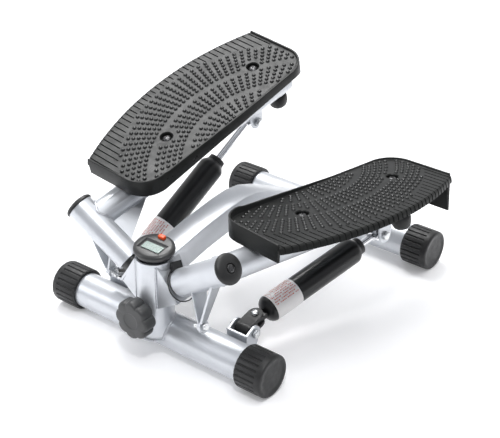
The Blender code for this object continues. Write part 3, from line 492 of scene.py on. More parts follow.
def hex_bolt(point, axis, head_r, head_h, shank_r, shank_len, nut=None, ref=None):
    """A hexagon head with a chamfered, slightly domed top and a washer face, a round shank and a hexagon nut."""
    x, y, z = frame_of(axis, ref)
    base = Vector(point)
    bm = lathe([(0.0001, 0.0), (0.0, head_r * 0.70), (head_h * 0.10, head_r * 0.86), (head_h * 0.24, head_r * 1.0), (head_h - 0.0004, head_r * 1.0), (head_h - 0.0004, 0.0)], base, z, 6, ref)
    lathe([(head_h - 0.0005, 0.0), (head_h - 0.0005, head_r * 0.95), (head_h, head_r * 0.95), (head_h, shank_r), (shank_len - 0.0006, shank_r), (shank_len, shank_r * 0.75), (shank_len, 0.0)], base, z, 12, ref, bm)
    if nut:
        s, t = nut
        lathe([(s, 0.0), (s, head_r), (s + t * 0.80, head_r), (s + t, head_r * 0.82), (s + t, 0.0)], base, z, 6, ref, bm)
        for k in range(4):
            u = s + t + (shank_len - s - t) * (k + 0.5) / 4
            if shank_len - s - t > 0.0008:
                lathe([(u - 0.0003, shank_r), (u, shank_r * 1.08), (u + 0.0003, shank_r)], base, z, 12, ref, bm)
    return bm


def curve_tube(name, points, radius, mat, resolution=2):
    data = bpy.data.curves.new("v_" + name, "CURVE")
    data.dimensions = "3D"
    data.bevel_depth = radius
    data.bevel_resolution = 4
    data.use_fill_caps = True
    spline = data.splines.new("POLY")
    spline.points.add(len(points) - 1)
    for p, q in zip(spline.points, points):
        p.co = (*q, 1.0)
    obj = bpy.data.objects.new("v_" + name, data)
    obj.location = SHIFT
    data.materials.append(mat)
    bpy.context.scene.collection.objects.link(obj)
    PIECES[obj.name] = (obj, name, BODY_OF[name], SLOT_OF[name])
    return obj


def tube_mesh(points, radius, sides=10, closed=False, ripple=None, bm=None):
    """A tube along points; ripple gives each ring its own share of the radius."""
    bm = bm or bmesh.new()
    pts = [Vector(p) for p in points]
    n = len(pts)
    rings = []
    normal = None
    for i, p in enumerate(pts):
        a = pts[(i - 1) % n] if closed or i else p
        b = pts[(i + 1) % n] if closed or i < n - 1 else p
        t = (b - a).normalized()
        if normal is None:
            normal = t.orthogonal().normalized()
        normal = (normal - t * normal.dot(t)).normalized()
        side = t.cross(normal)
        r = radius * (ripple(i) if ripple else 1.0)
        rings.append([bm.verts.new(p + (normal * math.cos(2 * math.pi * k / sides) + side * math.sin(2 * math.pi * k / sides)) * r) for k in range(sides)])
    last = n if closed else n - 1
    for i in range(last):
        a, b = rings[i], rings[(i + 1) % n]
        shift = 0
        if closed and i == n - 1:
            shift = min(range(sides), key=lambda k: sum((a[m].co - b[(m + k) % sides].co).length for m in range(0, sides, 3)))
        for k in range(sides):
            m = (k + 1) % sides
            bm.faces.new((a[k], a[m], b[(m + shift) % sides], b[(k + shift) % sides]))
    if not closed:
        bm.faces.new(list(reversed(rings[0])))
        bm.faces.new(rings[-1])
    return bm


def weld(name, points, radius, rides, closed=False, place=None):
    """A painted weld bead: evenly spaced overlapping ripples along a path."""
    pts = [Vector(p) for p in points]
    if closed:
        pts = pts + [pts[0]]
    lengths = [0.0]
    for a, b in zip(pts, pts[1:]):
        lengths.append(lengths[-1] + (b - a).length)
    total = lengths[-1]
    count = max(6, int(total / 0.0007))
    out = []
    k = 0
    for i in range(count + (0 if closed else 1)):
        s = total * i / count
        while k < len(lengths) - 2 and lengths[k + 1] < s:
            k += 1
        share = (s - lengths[k]) / max(1e-9, lengths[k + 1] - lengths[k])
        out.append(pts[k].lerp(pts[k + 1], min(1.0, share)))
    bm = tube_mesh(out, radius, 10, closed, lambda i: 0.86 + 0.16 * abs(math.sin(i * 0.72)) + 0.05 * math.sin(i * 0.31))
    return add("weld_" + name, bm, WELD, place, rides=rides)


def patch(name, quads, mat, rides, place=None):
    """Thin printed marks: each quad is four corners in order."""
    bm = bmesh.new()
    for q in quads:
        bm.faces.new([bm.verts.new(Vector(p)) for p in q])
    obj = mesh_object("v_" + name, bm, place)
    obj.data.materials.append(mat)
    PIECES[obj.name] = (obj, None, BODY_OF[rides], SLOT_OF[rides])
    return obj


def join_into(target, others):
    """The other objects' evaluated meshes added to the target's, once its modifiers are applied."""
    PIECES[target.name][0]["joined"] = [o.name for o in others]
    for o in others:
        PIECES.pop(o.name, None)


# ---------------------------------------------------------------- base tubes and foot caps
def base_tube(name, y):
    r, inner, half = TUBE_R, TUBE_R - TUBE_WALL, HALF_W - 0.004
    bm = ring_solid([(-half, r), (half, r), (half, inner), (-half, inner)], (0, y, BASE_Z), X, 32)
    return add(name, bm, PAINT)


def foot_cap(name, side, y):
    """A ribbed end cap with rounded ribs, a smooth shoulder and a slightly dished end."""
    x0, x1 = HALF_W - CAP_LEN, HALF_W
    steps = 10
    levels = (
        (x0, 0.93, 0.0), (x0 + 0.0004, 0.965, 0.4), (x0 + 0.0012, 0.985, 0.8), (x0 + 0.0026, 1.0, 1.0),
        (x1 - 0.0100, 1.0, 1.0), (x1 - 0.0092, 1.0, 0.5), (x1 - 0.0088, 1.0, 0.0), (x1 - 0.0030, 0.995, 0.0), (x1 - 0.0014, 0.975, 0.0), (x1 - 0.0004, 0.945, 0.0), (x1, 0.900, 0.0),
        (x1 - 0.0001, 0.80, 0.0), (x1 - 0.0007, 0.77, 0.0), (x1 - 0.0009, 0.60, 0.0), (x1 - 0.0010, 0.30, 0.0),
    )
    bm = bmesh.new()
    rings = []
    for x, share, depth in levels:
        ring = []
        for i in range(RIBS):
            mid = -math.pi / 2 + 2 * math.pi * i / RIBS
            for k in range(steps):
                t = (k / steps - 0.5) * 2.0
                a = mid + math.pi / RIBS * t
                rib = min(1.0, max(0.0, (abs(t) - 0.60) / 0.28))
                rib = rib * rib * (3 - 2 * rib)
                r = CAP_R * share - 0.0016 * rib * depth
                r = min(r, (BASE_Z / max(1e-6, -math.sin(a))) if math.sin(a) < -0.5 else r)
                ring.append(bm.verts.new((x, y + r * math.cos(a), BASE_Z + r * math.sin(a))))
        rings.append(ring)
    for a, b in zip(rings, rings[1:]):
        for i in range(len(a)):
            j = (i + 1) % len(a)
            bm.faces.new((a[i], a[j], b[j], b[i]))
    bm.faces.new(rings[-1])
    # the mouth, pushed over the tube
    inner = []
    for x in (x0, x0 + 0.0400):
        inner.append([bm.verts.new((x, y + (TUBE_R + 0.0002) * math.cos(2 * math.pi * i / 96), BASE_Z + (TUBE_R + 0.0002) * math.sin(2 * math.pi * i / 96))) for i in range(96)])
    for i in range(96):
        j = (i + 1) % 96
        bm.faces.new((inner[0][j], inner[0][i], inner[1][i], inner[1][j]))
    mouth = [e for e in bm.edges if e.is_boundary and all(abs(v.co.x - x0) < 1e-6 for v in e.verts)]
    bmesh.ops.bridge_loops(bm, edges=mouth)
    return add(name, bm, RUBBER, STATIC[side])


base_tube("front_base_tube", 0.0)
base_tube("rear_base_tube", REAR_Y)
for side in ("left", "right"):
    foot_cap(f"foot_cap_front_{side}", side, 0.0)
    foot_cap(f"foot_cap_rear_{side}", side, REAR_Y)

# ---------------------------------------------------------------- column
front_cope = helper("front_cope", rod((-0.12, 0, BASE_Z), (0.12, 0, BASE_Z), TUBE_R + GAP, 32))
rear_cope = helper("rear_cope", rod((-0.12, REAR_Y, BASE_Z), (0.12, REAR_Y, BASE_Z), TUBE_R + GAP, 32))
column = add(
    "front_column",
    ring_solid([(0.035, COL_R), (COL_TOP, COL_R), (COL_TOP, COL_R - 0.0025), (0.035, COL_R - 0.0025)], (0, COL_Y, 0), Z, 32),
    PAINT,
)
boolean(column, front_cope, "DIFFERENCE")
screw_hole = helper("screw_hole", rod((0, -0.05, SCREW_Z), (0, 0.035, SCREW_Z), 0.0058, 20))
boolean(column, screw_hole, "DIFFERENCE")

# pivot brackets: on each side a three-cornered plate from the column's front flank, folded to a flange square to the sleeve axis
P1, P2, P3 = (0.0190, 0.1455), (0.0508, 0.0990), (0.0175, 0.0800)
PLATE_T = 0.0030
PLATE_Y = -0.0302
across = Vector((AXIS_D.x, 0, AXIS_D.z)).normalized()
down = Vector((across.z, 0, -across.x))
flange_c = Vector((P1[0] + P2[0], 0, P1[1] + P2[1])) * 0.5 - across * 0.0017
col_clear = helper("col_clear", rod((0, COL_Y, 0.04), (0, COL_Y, 0.17), COL_R + GAP, 48))
beam_clear = helper("beam_clear", box((0, 0.0230, 0.1300), (BEAM_HALF + GAP, 0.0250, 0.0500)))
for side in ("left", "right"):
    bm = bmesh.new()
    outline = [(0.0120, P1[1] - 0.0030), P1, P2, P3, (0.0120, P3[1])]
    shift = {2: 0.0052}
    front = [bm.verts.new((x, PLATE_Y + shift.get(i, 0.0), z)) for i, (x, z) in enumerate(outline)]
    back = [bm.verts.new((x, PLATE_Y + shift.get(i, 0.0) + PLATE_T, z)) for i, (x, z) in enumerate(outline)]
    for tri in ((0, 1, 3, 4), (1, 2, 3)):
        bm.faces.new([front[i] for i in tri])
        bm.faces.new([back[i] for i in reversed(tri)])
    for i in range(5):
        j = (i + 1) % 5
        bm.faces.new((front[i], back[i], back[j], front[j]))
    bracket = add(f"{side}_pivot_bracket", bm, PAINT, STATIC[side])
    flange = helper(
        f"flange_{side}",
        box(flange_c + Y * -0.0065, (0.0016, 0.0205, 0.0280), Matrix((across, Y, -down)).transposed()),
        STATIC[side],
    )
    boolean(bracket, flange, "UNION")
    boolean(bracket, col_clear, "DIFFERENCE")
    boolean(bracket, beam_clear, "DIFFERENCE")


# ---------------------------------------------------------------- main beam
BEAM_TOP = ((0.0000, 0.1483), (0.0180, 0.1510), (0.0700, 0.1605), (0.1250, 0.1670), (0.1560, 0.1685), (0.1830, 0.1650), (0.2100, 0.1550), (0.2450, 0.1385), (0.3300, 0.0970), (0.3930, 0.0662))
bm = bmesh.new()
rings = []
for i, (y, z) in enumerate(BEAM_TOP):
    a = BEAM_TOP[max(i - 1, 0)]
    b = BEAM_TOP[min(i + 1, len(BEAM_TOP) - 1)]
    run = Vector((0, b[0] - a[0], b[1] - a[1])).normalized()
    if i in (0,):
        run = Vector((0, 1, 0))
    up = Vector((0, -run.z, run.y))
    top = Vector((0, y, z))
    h, c = BEAM_HALF, 0.0030
    section = [(-h, c), (-h + c * 0.3, c * 0.3), (-h + c, 0), (h - c, 0), (h - c * 0.3, c * 0.3), (h, c),
               (h, BEAM_H - c), (h - c * 0.3, BEAM_H - c * 0.3), (h - c, BEAM_H), (-h + c, BEAM_H), (-h + c * 0.3, BEAM_H - c * 0.3), (-h, BEAM_H - c)]
    rings.append([bm.verts.new(top + X * sx - up * sz) for sx, sz in section])
for a, b in zip(rings, rings[1:]):
    for i in range(12):
        j = (i + 1) % 12
        bm.faces.new((a[i], a[j], b[j], b[i]))
bm.faces.new(rings[0])
bm.faces.new(list(reversed(rings[-1])))
beam = add("main_beam", bm, PAINT)
boolean(beam, rear_cope, "DIFFERENCE")
boolean(beam, col_clear, "DIFFERENCE")

# ---------------------------------------------------------------- step display
TILT = math.radians(10)
MON = Vector((0, -0.0110, 0.1525))
mon_up = Vector((0, -math.sin(TILT), math.cos(TILT)))
mon_rear = Vector((0, math.cos(TILT), math.sin(TILT)))
MON_M = Matrix.Translation(MON) @ Matrix((X, mon_rear, mon_up)).transposed().to_4x4() @ Matrix.Diagonal((1.0, 0.86, 1.0, 1.0))
monitor = add(
    "monitor_housing",
    lathe([(-0.0060, 0.0180), (-0.0006, 0.0200), (0.0000, 0.0225), (0.0006, 0.0262), (0.0020, 0.0285), (0.0045, 0.0299), (0.0068, 0.0300), (0.0086, 0.0295), (0.0100, 0.0282), (0.0110, 0.0262), (0.0115, 0.0240), (0.0117, 0.0150), (0.0118, 0.0)],
          (0, 0, 0), Z, 40),
    HOUSING,
    MON_M,
)
MON_R = Matrix.Translation(MON) @ Matrix((X, mon_rear, mon_up)).transposed().to_4x4()
frustum = bmesh.new()
low = [frustum.verts.new((x, y, 0.0092)) for x, y in ((-0.0172, -0.0108), (0.0172, -0.0108), (0.0172, 0.0058), (-0.0172, 0.0058))]
high = [frustum.verts.new((x, y, 0.0140)) for x, y in ((-0.0212, -0.0150), (0.0212, -0.0150), (0.0212, 0.0100), (-0.0212, 0.0100))]
frustum.faces.new(low)
frustum.faces.new(list(reversed(high)))
for i in range(4):
    j = (i + 1) % 4
    frustum.faces.new((low[j], low[i], high[i], high[j]))
bmesh.ops.recalc_face_normals(frustum, faces=frustum.faces)
boolean(monitor, helper("lcd_seat", frustum, MON_R), "DIFFERENCE")
boolean(monitor, helper("lcd_seat2", box((0.0, -0.0025, 0.0110), (0.0165, 0.0076, 0.0035)), MON_R), "DIFFERENCE")
boolean(monitor, helper("button_seat", box((0.0, 0.0170, 0.0110), (0.0056, 0.0036, 0.0050)), MON_R), "DIFFERENCE")
boolean(monitor, helper("monitor_spigot", rod((0, COL_Y, 0.10), (0, COL_Y, COL_TOP + GAP), 0.06, 24)), "DIFFERENCE")
# a black sheet round the LCD at the bottom of its recess: painted shade for the recess
add("monitor_bezel", box((0.0, -0.0025, 0.0083), (0.0163, 0.0074, 0.0006)), SHADE_BLACK, MON_R, rides="monitor_housing")
add("monitor_display", box((0.0, -0.0025, 0.0094), (0.0150, 0.0062, 0.0006)), LCD, MON_R)
button = bmesh.new()
box((0.0, 0.0170, 0.0118), (0.0050, 0.0030, 0.0036), bm=button)
bmesh.ops.bevel(button, geom=list(button.edges), offset=0.0012, segments=4, profile=0.5, affect="EDGES")
add("monitor_button", button, ORANGE, MON_R, origin=MON_R @ Vector((0, 0.0170, 0.0115)))
# plain seven-bar figures and a rule on the display
SEGMENTS = {"0": "abcdef", "1": "bc", "2": "abged", "8": "abcdefg"}
bars = []
for k, figure in enumerate("0120"):
    cx, cy, w, h, t = -0.0088 + 0.0056 * k + (0.0012 if k > 1 else 0.0), -0.0016, 0.0016, 0.0030, 0.00050
    parts = {"a": (cx, cy + h, w, t), "g": (cx, cy, w, t), "d": (cx, cy - h, w, t), "f": (cx - w, cy + h / 2, t, h / 2), "b": (cx + w, cy + h / 2, t, h / 2), "e": (cx - w, cy - h / 2, t, h / 2), "c": (cx + w, cy - h / 2, t, h / 2)}
    for s in SEGMENTS[figure]:
        px, py, hw, hh = parts[s]
        hw, hh = (hw - 0.0003, hh / 2) if s in "agd" else (hw / 2, hh - 0.0003)
        bars.append([(px + a * hw, py + b * hh, 0.01006) for a, b in ((-1, -1), (1, -1), (1, 1), (-1, 1))])
for x0, x1, yy in ((-0.0130, 0.0130, -0.0068), (0.0118, 0.0138, 0.0000), (0.0118, 0.0138, 0.0014)):
    bars.append([(x0, yy - 0.00018, 0.01006), (x1, yy - 0.00018, 0.01006), (x1, yy + 0.00018, 0.01006), (x0, yy + 0.00018, 0.01006)])
patch("display_figures", bars, DIGIT, "monitor_display", MON_R)

# ---------------------------------------------------------------- step sensor and its lead


def around_axis(t, degrees, radius):
    """A point at a distance along the right sleeve axis, turned from its upper side towards the front."""
    up = (Z - AXIS_D * AXIS_D.z).normalized()
    side = AXIS_D.cross(up)
    a = math.radians(degrees)
    return AXIS_P + AXIS_D * t + (up * math.cos(a) + side * math.sin(a)) * radius


SENSOR = around_axis(0.0310, -10, 0.0225)
sensor_up = (SENSOR - around_axis(0.0310, 0, 0.0)).normalized()
sensor = add("step_sensor", box(SENSOR, (0.0045, 0.0075, 0.0065), Matrix((AXIS_D, sensor_up.cross(AXIS_D), sensor_up)).transposed()), NYLON)
boolean(sensor, col_clear, "DIFFERENCE")
LEAD = (
    (0.0310, 17, 0.0215),
    (0.0310, 38, 0.0205),
    (0.0315, 62, 0.0205),
    (0.0320, 90, 0.0215),
    (0.0330, 115, 0.0235),
    (0.0335, 145, 0.0250),
    (0.0330, 180, 0.0250),
    (0.0320, 215, 0.0250),
    (0.0290, 245, 0.0255),
)
wire_points = bezier([around_axis(*spot) for spot in LEAD] + [Vector((0.0330, 0.0190, 0.1080)), Vector((0.0260, 0.0130, 0.1060)), Vector((0.0205, 0.0035, 0.1050))], 2)
curve_tube("sensor_lead", wire_points, 0.0009, WIRE, 2)

# ---------------------------------------------------------------- height adjuster
KNOB_Y0, KNOB_Y1 = -0.0640, -0.0435
LOBES = 8
knob = bmesh.new()
levels = ((KNOB_Y0 + 0.0008, 0.40), (KNOB_Y0 + 0.0006, 0.44), (KNOB_Y0 + 0.0002, 0.46), (KNOB_Y0 + 0.0002, 0.86), (KNOB_Y0 + 0.0005, 0.91), (KNOB_Y0 + 0.0014, 0.95), (KNOB_Y0 + 0.0030, 0.982), (KNOB_Y0 + 0.0055, 1.0),
          (KNOB_Y1 - 0.0040, 1.0), (KNOB_Y1 - 0.0016, 0.985), (KNOB_Y1 - 0.0004, 0.96), (KNOB_Y1, 0.92), (KNOB_Y1, 0.50), (KNOB_Y1 + 0.0022, 0.44), (KNOB_Y1 + 0.0022, 0.22))
count = LOBES * 22
rings = []
for yy, share in levels:
    ring = []
    for i in range(count):
        a = 2 * math.pi * (i + 0.5) / count
        lobe = abs(math.cos(LOBES * a / 2)) ** 0.62
        full = 0.0238 + 0.0045 * lobe
        fade = min(1.0, max(0.0, (share - 0.46) / 0.40))
        r = share * (full * fade + 0.0262 * (1 - fade))
        ring.append(knob.verts.new((r * math.cos(a), yy, SCREW_Z + r * math.sin(a))))
    rings.append(ring)
for a, b in zip(rings, rings[1:]):
    for i in range(count):
        j = (i + 1) % count
        knob.faces.new((a[i], a[j], b[j], b[i]))
knob.faces.new(rings[0])
knob.faces.new(list(reversed(rings[-1])))
add("adjust_knob", knob, KNOB, origin=(0, KNOB_Y0, SCREW_Z))

add("adjuster_screw", rod((0, KNOB_Y0 + 0.0104, SCREW_Z), (0, 0.0380, SCREW_Z), 0.0048, 20), ZINC, origin=(0, KNOB_Y0, SCREW_Z))
add("adjuster_nut", ring_solid([(0, 0.0095), (0.0007, 0.0108), (0.0026, 0.0108), (0.0026, 0.0053), (0, 0.0053)], (0, -0.0412, SCREW_Z), Y, 12), ZINC)

# pulley carried by the adjuster screw behind the column
PULLEY = Vector((0, 0.0620, SCREW_Z))
PULLEY_R = 0.0220
yoke = add("pulley_yoke", box(PULLEY + Vector((0, -0.0300, 0)), (0.0110, 0.0030, 0.0125)), ZINC, origin=PULLEY)
for k, s in enumerate((-1, 1)):
    boolean(yoke, helper(f"yoke_arm{k}", box(PULLEY + Vector((0, -0.0095, s * 0.0105)), (0.0108, 0.0225, 0.0016))), "UNION")
boolean(yoke, helper("yoke_thread", rod((0, 0.0200, SCREW_Z), (0, 0.0400, SCREW_Z), 0.0051, 20)), "DIFFERENCE")
boolean(yoke, helper("yoke_pin_hole", rod(PULLEY - Z * 0.02, PULLEY + Z * 0.02, 0.0034, 16)), "DIFFERENCE")
add("pulley_pin", hex_bolt(PULLEY + Z * 0.0152, -Z, 0.0058, 0.0030, 0.0030, 0.0300, nut=(0.0275, 0.0020)), ZINC, origin=PULLEY)
add(
    "cable_pulley",
    ring_solid([(-0.0070, PULLEY_R), (-0.0030, PULLEY_R - 0.0038), (0.0030, PULLEY_R - 0.0038), (0.0070, PULLEY_R), (0.0070, 0.0034), (-0.0070, 0.0034)], PULLEY, Z, 24),
    NYLON,
    origin=PULLEY,
)


# ---------------------------------------------------------------- swivel arms
def local(v, u, w):
    return PEDAL @ Vector((v, u, w))


EX, EY, EZ = (PEDAL.to_3x3() @ v for v in (X, Y, Z))
SIDE_SIGN = {"right": 1, "left": -1}
AXIS_REF = AXIS_D.cross(Y)
TIP_AXIS = (AXIS_D + X).normalized()


def axis_point(t):
    return AXIS_P + AXIS_D * t


def strip_plate(top, bottom, wide, w_top, w_bottom, thick, bm=None):
    """A flat plate between two centre points, tapering in width."""
    bm = bm or bmesh.new()
    run = (bottom - top).normalized()
    wide = (Vector(wide) - run * Vector(wide).dot(run)).normalized()
    normal = run.cross(wide).normalized() * (thick / 2)
    quad = [top - wide * w_top, top + wide * w_top, bottom + wide * w_bottom, bottom - wide * w_bottom]
    low = [bm.verts.new(q - normal) for q in quad]
    high = [bm.verts.new(q + normal) for q in quad]
    bm.faces.new(low)
    bm.faces.new(list(reversed(high)))
    for i in range(4):
        j = (i + 1) % 4
        bm.faces.new((low[j], low[i], high[i], high[j]))
    return bm


def swivel_arm(side):
    place, origin = SIDES[side], STATIC[side] @ AXIS_P
    arm = add(f"{side}_arm", rod(axis_point(SLEEVE_T0), axis_point(SLEEVE_T1), SLEEVE_R, 28, AXIS_REF), PAINT, place, origin)
    start, end = axis_point(ARM_T), local(*ARM_END)
    run = (end - start).normalized()
    boolean(arm, helper(f"{side}_arm_tube", rod(start, end, ARM_R, 28), place), "UNION")
    # triangular gusset in the inner corner
    g1, g2 = axis_point(0.0450), start + run * 0.1150
    normal = AXIS_D.cross(run).normalized()
    tri = bmesh.new()
    low = [tri.verts.new(p - normal * 0.0017) for p in (g1, g2, start)]
    high = [tri.verts.new(p + normal * 0.0017) for p in (g1, g2, start)]
    tri.faces.new(low)
    tri.faces.new(list(reversed(high)))
    for i in range(3):
        j = (i + 1) % 3
        tri.faces.new((low[j], low[i], high[i], high[j]))
    boolean(arm, helper(f"{side}_gusset", tri, place), "UNION")
    # cable lug: two plates closing towards the bolt
    lug_w = Vector((0, 1, 0.35))
    for k, (t, off) in enumerate(((0.0620, -0.0014), (0.1030, 0.0014))):
        top = axis_point(t) + down * 0.0120
        low_end = CABLE_TIP + TIP_AXIS * off + Z * 0.0065
        boolean(arm, helper(f"{side}_lug{k}", strip_plate(top, low_end, lug_w, 0.0125, 0.0070, 0.0030), place), "UNION")
    boolean(arm, helper(f"{side}_tongue", rod(CABLE_TIP - TIP_AXIS * 0.0030, CABLE_TIP + TIP_AXIS * 0.0030, 0.0082, 16, Z), place), "UNION")
    # pedal plate and the two webs that carry it
    boolean(arm, helper(f"{side}_web0", box(local(0.0560, 0.0990, -0.0250), (0.0150, 0.0130, 0.0145), PEDAL.to_3x3()), place), "UNION")
    boolean(arm, helper(f"{side}_web1", box(local(0.0520, 0.2790, -0.0280), (0.0150, 0.0130, 0.0175), PEDAL.to_3x3()), place), "UNION")
    boolean(arm, helper(f"{side}_plate", box(local(0.0560, 0.1890, -0.0100), (0.0240, 0.1120, 0.0015), PEDAL.to_3x3()), place), "UNION")
    # rod bracket: two cheeks under the tube
    for k, s in enumerate((-1, 1)):
        outline = [(-0.0150, 0.0330), (0.0150, 0.0330), (0.0115, 0.0)] + [
            (0.0115 * math.cos(a), 0.0115 * math.sin(a)) for a in (-math.radians(30 * i) for i in range(1, 6))
        ] + [(-0.0115, 0.0)]
        origin_c = local(*ROD_PIN) + EX * (s * 0.0130 - 0.0015)
        boolean(arm, helper(f"{side}_cheek{k}", prism(outline, origin_c, EY, EZ, EX, 0.0030), place), "UNION")
    # bumper seat at the rear end
    boolean(arm, helper(f"{side}_seat", rod(local(*BUMPER) + EZ * 0.0008, local(*BUMPER) + EZ * 0.0120, 0.0110, 16), place), "UNION")
    # bore, bolt holes
    boolean(arm, helper(f"{side}_bore", rod(axis_point(SLEEVE_T0 - 0.01), axis_point(SLEEVE_T1 + 0.01), BORE_R, 28, AXIS_REF), place), "DIFFERENCE")
    holes = bmesh.new()
    rod(CABLE_TIP - TIP_AXIS * 0.02, CABLE_TIP + TIP_AXIS * 0.02, 0.0034, 14, bm=holes)
    rod(local(*ROD_PIN) - EX * 0.03, local(*ROD_PIN) + EX * 0.03, 0.0044, 16, bm=holes)
    for u in BOLT_U:
        rod(local(BOLT_V, u, -0.022), local(BOLT_V, u, 0.0), 0.0034, 14, bm=holes)
    boolean(arm, helper(f"{side}_holes", holes, place), "DIFFERENCE")

    add(f"{side}_inner_bush",
        ring_solid([(0, 0.0150), (0.0080, 0.0152), (0.0080, BORE_R - GAP), (0.0260, BORE_R - GAP), (0.0260, AXLE_R + GAP), (0, AXLE_R + GAP)],
                   axis_point(SLEEVE_T0 - 0.0083), AXIS_D, 16, AXIS_REF),
        NYLON, place, origin)
    add(f"{side}_sleeve_cap",
        ring_solid([(-0.0180, BORE_R - GAP), (0.0003, BORE_R - GAP), (0.0003, 0.0200), (0.0007, 0.0204), (0.0016, 0.0206), (0.0030, 0.0203), (0.0044, 0.0194), (0.0057, 0.0177), (0.0067, 0.0152), (0.0075, 0.0122), (0.0080, 0.0094), (0.0081, 0.0078), (0.0078, 0.0068),
                    (0.0045, 0.0062), (0.0045, 0.0034), (-0.0180, 0.0034)],
                   axis_point(SLEEVE_T1), AXIS_D, 20, AXIS_REF),
        RUBBER, place, origin)
    add(f"{side}_cap_screw",
        lathe([(-0.0160, 0.0030), (0.0048, 0.0030), (0.0048, 0.0054), (0.0078, 0.0054), (0.0086, 0.0040)],
              axis_point(SLEEVE_T1), AXIS_D, 14, AXIS_REF),
        ZINC, place, origin)
    add(f"{side}_axle", rod(axis_point(0.0268), axis_point(SLEEVE_T1 - 0.0190), AXLE_R, 20, AXIS_REF), ZINC, STATIC[side])
    add(f"{side}_cable_bolt",
        lathe([(0, 0.0044), (0.0008, 0.0052), (0.0040, 0.0052), (0.0040, 0.0030), (0.0107, 0.0030), (0.0107, 0.0054), (0.0147, 0.0054), (0.0147, 0.0043), (0.0200, 0.0043)],
              CABLE_TIP + TIP_AXIS * 0.0075, -TIP_AXIS, 12),
        ZINC, place, origin)
    add(f"{side}_rod_pin",
        hex_bolt(local(*ROD_PIN) + EX * 0.0195, -EX, 0.0068, 0.0045, 0.0040, 0.0400, nut=(0.0345, 0.0045)),
        ZINC, place, origin)
    p = local(*BUMPER)
    add(f"{side}_bumper",
        lathe([(-0.0226, 0.0050), (-0.0222, 0.0080), (-0.0207, 0.0106), (-0.0180, 0.0128), (-0.0145, 0.0141), (-0.0110, 0.0146), (-0.0070, 0.0147), (-0.0040, 0.0143), (-0.0016, 0.0136), (-0.0003, 0.0126)], p, EZ, 24),
        RUBBER, place, origin)


def pedal_outline(inset):
    """The wall path from the front outer corner round the inner side to the rear outer corner: (u, v)."""
    r = CORNER_R - inset
    path = [(inset, PEDAL_W), (inset, 0.0860), (inset, 0.0620)]
    for i in range(9):
        a = math.pi + math.pi / 2 * i / 8
        path.append((CORNER_R + r * math.cos(a), CORNER_R + r * math.sin(a)))
    for k in (0.25, 0.5, 0.75):
        path.append((CORNER_R + (PEDAL_L - 2 * CORNER_R) * k, inset))
    for i in range(9):
        a = -math.pi / 2 + math.pi / 2 * i / 8
        path.append((PEDAL_L - CORNER_R + r * math.cos(a), CORNER_R + r * math.sin(a)))
    path += [(PEDAL_L - inset, 0.0620), (PEDAL_L - inset, 0.0860), (PEDAL_L - inset, PEDAL_W)]
    return path


def outer_edge(u):
    rad = ((PEDAL_L / 2) ** 2 + BULGE**2) / (2 * BULGE)
    return PEDAL_W + BULGE - (rad - math.sqrt(rad**2 - (u - PEDAL_L / 2) ** 2))


def wall_heights(u, v):
    """Lip above the tread and skirt below it."""
    if u > PEDAL_L - 0.0005 and v > CORNER_R - 0.001:
        share = min(1.0, max(0.0, (v - CORNER_R) / 0.040))
        return 0.0030, 0.0300 + 0.0230 * share
    if u < 0.0005 and v > CORNER_R - 0.001:
        share = min(1.0, (v - CORNER_R) / (PEDAL_W - CORNER_R))
        return 0.0095 - 0.0055 * share, 0.0170 + 0.0040 * share
    share = min(1.0, max(0.0, u / (0.64 * PEDAL_L)))
    lip = 0.0105 - 0.0085 * share
    if u < CORNER_R:
        lip = 0.0095 + 0.0010 * u / CORNER_R
    skirt = 0.0165 - 0.0055 * u / PEDAL_L
    if u > PEDAL_L - CORNER_R:
        k = (u - PEDAL_L + CORNER_R) / CORNER_R
        skirt += k * k * (0.0300 - skirt)
        lip += k * 0.0010
    return lip, skirt


def fine_outline(inset):
    """The wall path from the front outer corner round the inner side to the rear outer corner."""
    r = CORNER_R - inset
    path = [(inset, PEDAL_W - (PEDAL_W - CORNER_R) * i / 24) for i in range(24)]
    for i in range(25):
        a = math.pi + math.pi / 2 * i / 24
        path.append((CORNER_R + r * math.cos(a), CORNER_R + r * math.sin(a)))
    for i in range(1, 24):
        path.append((CORNER_R + (PEDAL_L - 2 * CORNER_R) * i / 24, inset))
    for i in range(25):
        a = -math.pi / 2 + math.pi / 2 * i / 24
        path.append((PEDAL_L - CORNER_R + r * math.cos(a), CORNER_R + r * math.sin(a)))
    path += [(PEDAL_L - inset, CORNER_R + (PEDAL_W - CORNER_R) * i / 24) for i in range(1, 25)]
    return path


def groove_limit(u):
    """Where the nubs end and the grooves begin."""
    return -0.0850 + math.sqrt(0.2220**2 - (u - 0.1740) ** 2)


